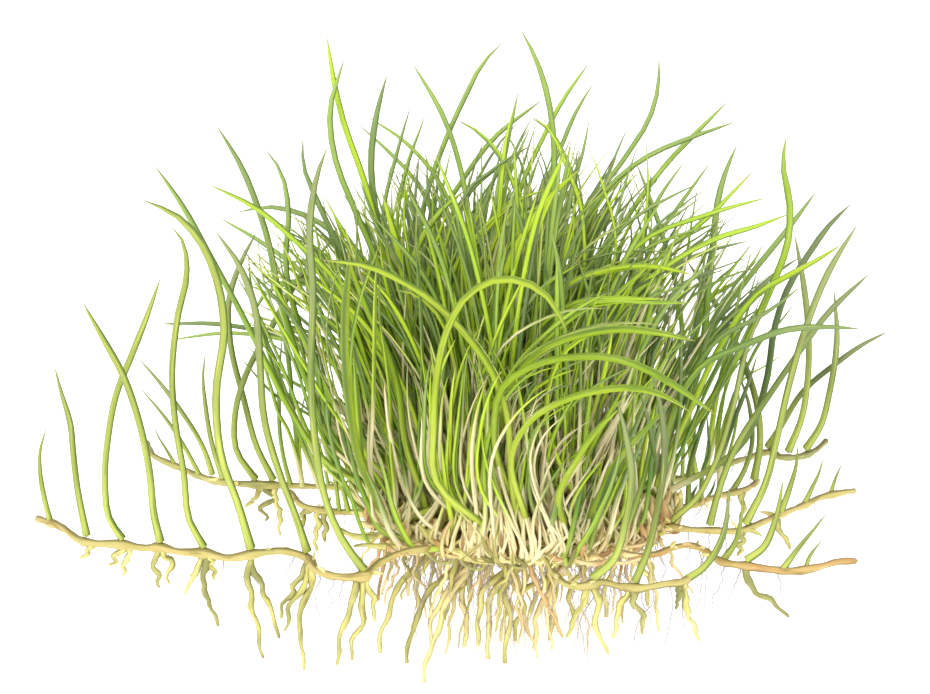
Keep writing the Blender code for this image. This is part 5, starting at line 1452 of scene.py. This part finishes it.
def main():
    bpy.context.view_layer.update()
    studio()
    stem, runner_look = stem_material(), runner_material()
    root_look, hair_look = root_material(), hair_material()
    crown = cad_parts["crown"]
    crown_tree = crown_tree_of(crown)
    layout = build_layout(crown_tree)
    dress_crown(crown, crown_core_material())
    draw = random.Random(11)
    crown_mat(draw, crown_tree, root_look)

    grown = fill_stems(draw, layout, crown_tree)
    for name, stems in layout["tufts"].items():
        tuft = Bundle(8)
        for path, width, tip in stems:
            kind = 0.5 if "front" in name and tip else 0.3 if "right_end" in name or "outer" in name else 0.12
            stem_tube(tuft, path, width, TONES.get(tip, stem_tone(draw, path, 0.12)), kind=kind)
        for path, width, tone, kind, hidden in grown[name]:
            stem_tube(tuft, path, width, tone, kind=kind, hidden=hidden)
        tuft.piece(name + "_stems", stem, (name,))

    for side in ("left", "right"):
        names = [name for name in layout["shoots"] if ("left" in name) == (side == "left")]
        shoots = Bundle(4)
        for name in names:
            path, width, tip = layout["shoots"][name]
            stem_tube(shoots, path, width, TONES.get(tip, stem_tone(draw, path, 0.1)), kind=1.0)
        shoots.piece(f"shoots_{side}", stem, names)

    short = Bundle(6)
    for width, tip_depth, tone, route in (*LONE_STEMS["crown"], DEAD_STEM):
        foot = on_crown(crown_tree, route[0], 0.2)
        kind = -2.0 if route is DEAD_STEM[3] else 0.2
        lone = smooth(traced(foot, route[1:], tip_depth), FINE_STEPS)
        stem_tube(short, lone, width, tone, kind=kind)
    hairs = Bundle(20)
    runners = Bundle(4)
    small_roots = Bundle(8)
    for name, path in layout["runners"].items():
        fine = smooth(path, 90)
        share, length = arc_fractions(fine)
        radii = np.full(len(fine), RUNNERS[name].width / 2)
        radii *= 1 + 0.08 * np.sin(share * length * 0.9) + 0.05 * np.sin(share * length * 2.3 + 1)
        for shoot in RUNNERS[name].shoots:
            foot = nearest_on(path, shoot.foot)
            radii *= 1 + 0.3 * np.exp(-(np.linalg.norm(fine - foot, axis=1) / 1.6) ** 2)
        for root in RUNNERS[name].roots:
            foot = nearest_on(path, root[0])
            radii *= 1 + 0.1 * np.exp(-(np.linalg.norm(fine - foot, axis=1) / 1.6) ** 2)
        for node, (runner_name, shoot) in SHOOTS.items():
            if runner_name == name:
                foot = nearest_on(path, shoot.foot)
                radii *= 1 + 0.3 * np.exp(-(np.linalg.norm(fine - foot, axis=1) / 1.6) ** 2)
        tone = RUNNER_TONES.get(name, 0.45)
        runners.tube(fine, radii, sides=8, tone=tone, start=(0, 0, 1))
        for stem_path, width, tip in layout["short"][name]:
            stem_tube(short, stem_path, width, TONES.get(tip, stem_tone(draw, stem_path, 0.1)), kind=1.0)
        for width, tip_depth, tone, route in LONE_STEMS.get(name, ()):
            lone = smooth(traced(nearest_on(path, route[0]), route[1:], tip_depth), FINE_STEPS)
            stem_tube(short, lone, width, tone, kind=0.3)
        for route in HAIR_ROUTES.get(name, ()):
            top = nearest_on(path, route[0])
            hair = wavy([top] + [seen_at(pixel, top[1]) for pixel in route[1:]], draw, 14, 0.3)
            hairs.tube(hair, np.linspace(0.13, 0.06, len(hair)), sides=3, tone=draw.random())
        for i in range(RUNNER_SCALES):
            foot = fine[int(draw.uniform(0, 0.5) * 90)]
            way = np.array((draw.gauss(0, 1), draw.gauss(0, 0.7), draw.gauss(0.3, 0.4)))
            top = foot + way / np.linalg.norm(way) * draw.uniform(1.2, 2.6)
            bend = np.array((draw.gauss(0, 0.3), draw.gauss(0, 0.3), draw.uniform(0, 0.4)))
            scale = smooth((foot, (foot + top) / 2 + bend, top), 6)
            radii = draw.uniform(0.2, 0.45) * np.sin(math.pi * (0.25 + 0.7 * np.linspace(0, 1, 7))) + 0.03
            tone = min(0.95, max(0.1, draw.gauss(0.45, 0.2)))
            small_roots.tube(scale, radii, tone=tone, start=(0, 0, 1), flat=0.4)
        for points in layout["small_roots"][name]:
            path_of_root = wavy(points, draw, 14, 0.5)
            root_tube(small_roots, path_of_root, 1.1, draw.uniform(0.0, 0.32), draw)
    short.piece("short_shoots", stem)
    runners.piece("runners", runner_look, list(layout["runners"]))
    small_roots.piece("small_roots", root_look)

    roots = Bundle(10)
    for name, (centre, paths) in layout["roots"].items():
        for path in paths:
            root_tube(roots, wavy(path, draw, 18, 0.4), 1.1, draw.uniform(0.1, 0.6), draw, blunt=0.55)
    for i in range(95):
        turn = draw.uniform(0, 2 * math.pi)
        reach = draw.uniform(0, 0.92) ** 0.5
        x = CROWN_CENTRE[0] + CROWN_RADIUS[0] * reach * math.cos(turn)
        y = CROWN_CENTRE[1] + CROWN_RADIUS[1] * reach * math.sin(turn)
        top = np.array((x, y, CROWN_CENTRE[2] - 2.5))
        drop = draw.uniform(6, 16.5)
        lean = np.array((draw.gauss(0, 2.2) + 0.1 * (x - CROWN_CENTRE[0]), draw.gauss(0, 1.5), 0))
        points = [top, top + lean * 0.3 + (0, 0, -drop * 0.35), top + lean * 0.7 + (0, 0, -drop * 0.7),
                  top + lean + (0, 0, -drop)]
        root_tube(roots, wavy(points, draw, 14, 0.6), draw.uniform(0.4, 0.9), draw.uniform(0.05, 0.85), draw)
    for i in range(190):
        turn = draw.uniform(0, 2 * math.pi)
        reach = draw.uniform(0.2, 1.0) ** 0.5
        x = CROWN_CENTRE[0] + CROWN_RADIUS[0] * reach * math.cos(turn)
        y = CROWN_CENTRE[1] + CROWN_RADIUS[1] * reach * math.sin(turn)
        top = lie_on(crown_tree, x, y, -1, -0.3)
        drop = draw.uniform(5, 18)
        lean = np.array((draw.gauss(0, 3.5), draw.gauss(0, 2.0), 0))
        points = [top, top + lean * 0.2 + (0, 0, -drop * 0.35), top + lean * 0.6 + (0, 0, -drop * 0.7),
                  top + lean + (0, 0, -drop)]
        path = wavy(points, draw, 10, 0.5)
        hairs.tube(path, np.linspace(0.1, 0.04, len(path)), sides=3, tone=draw.random())
    roots.piece("crown_roots", root_look, list(layout["roots"]))
    hairs.piece("hair_roots", hair_look)


main()
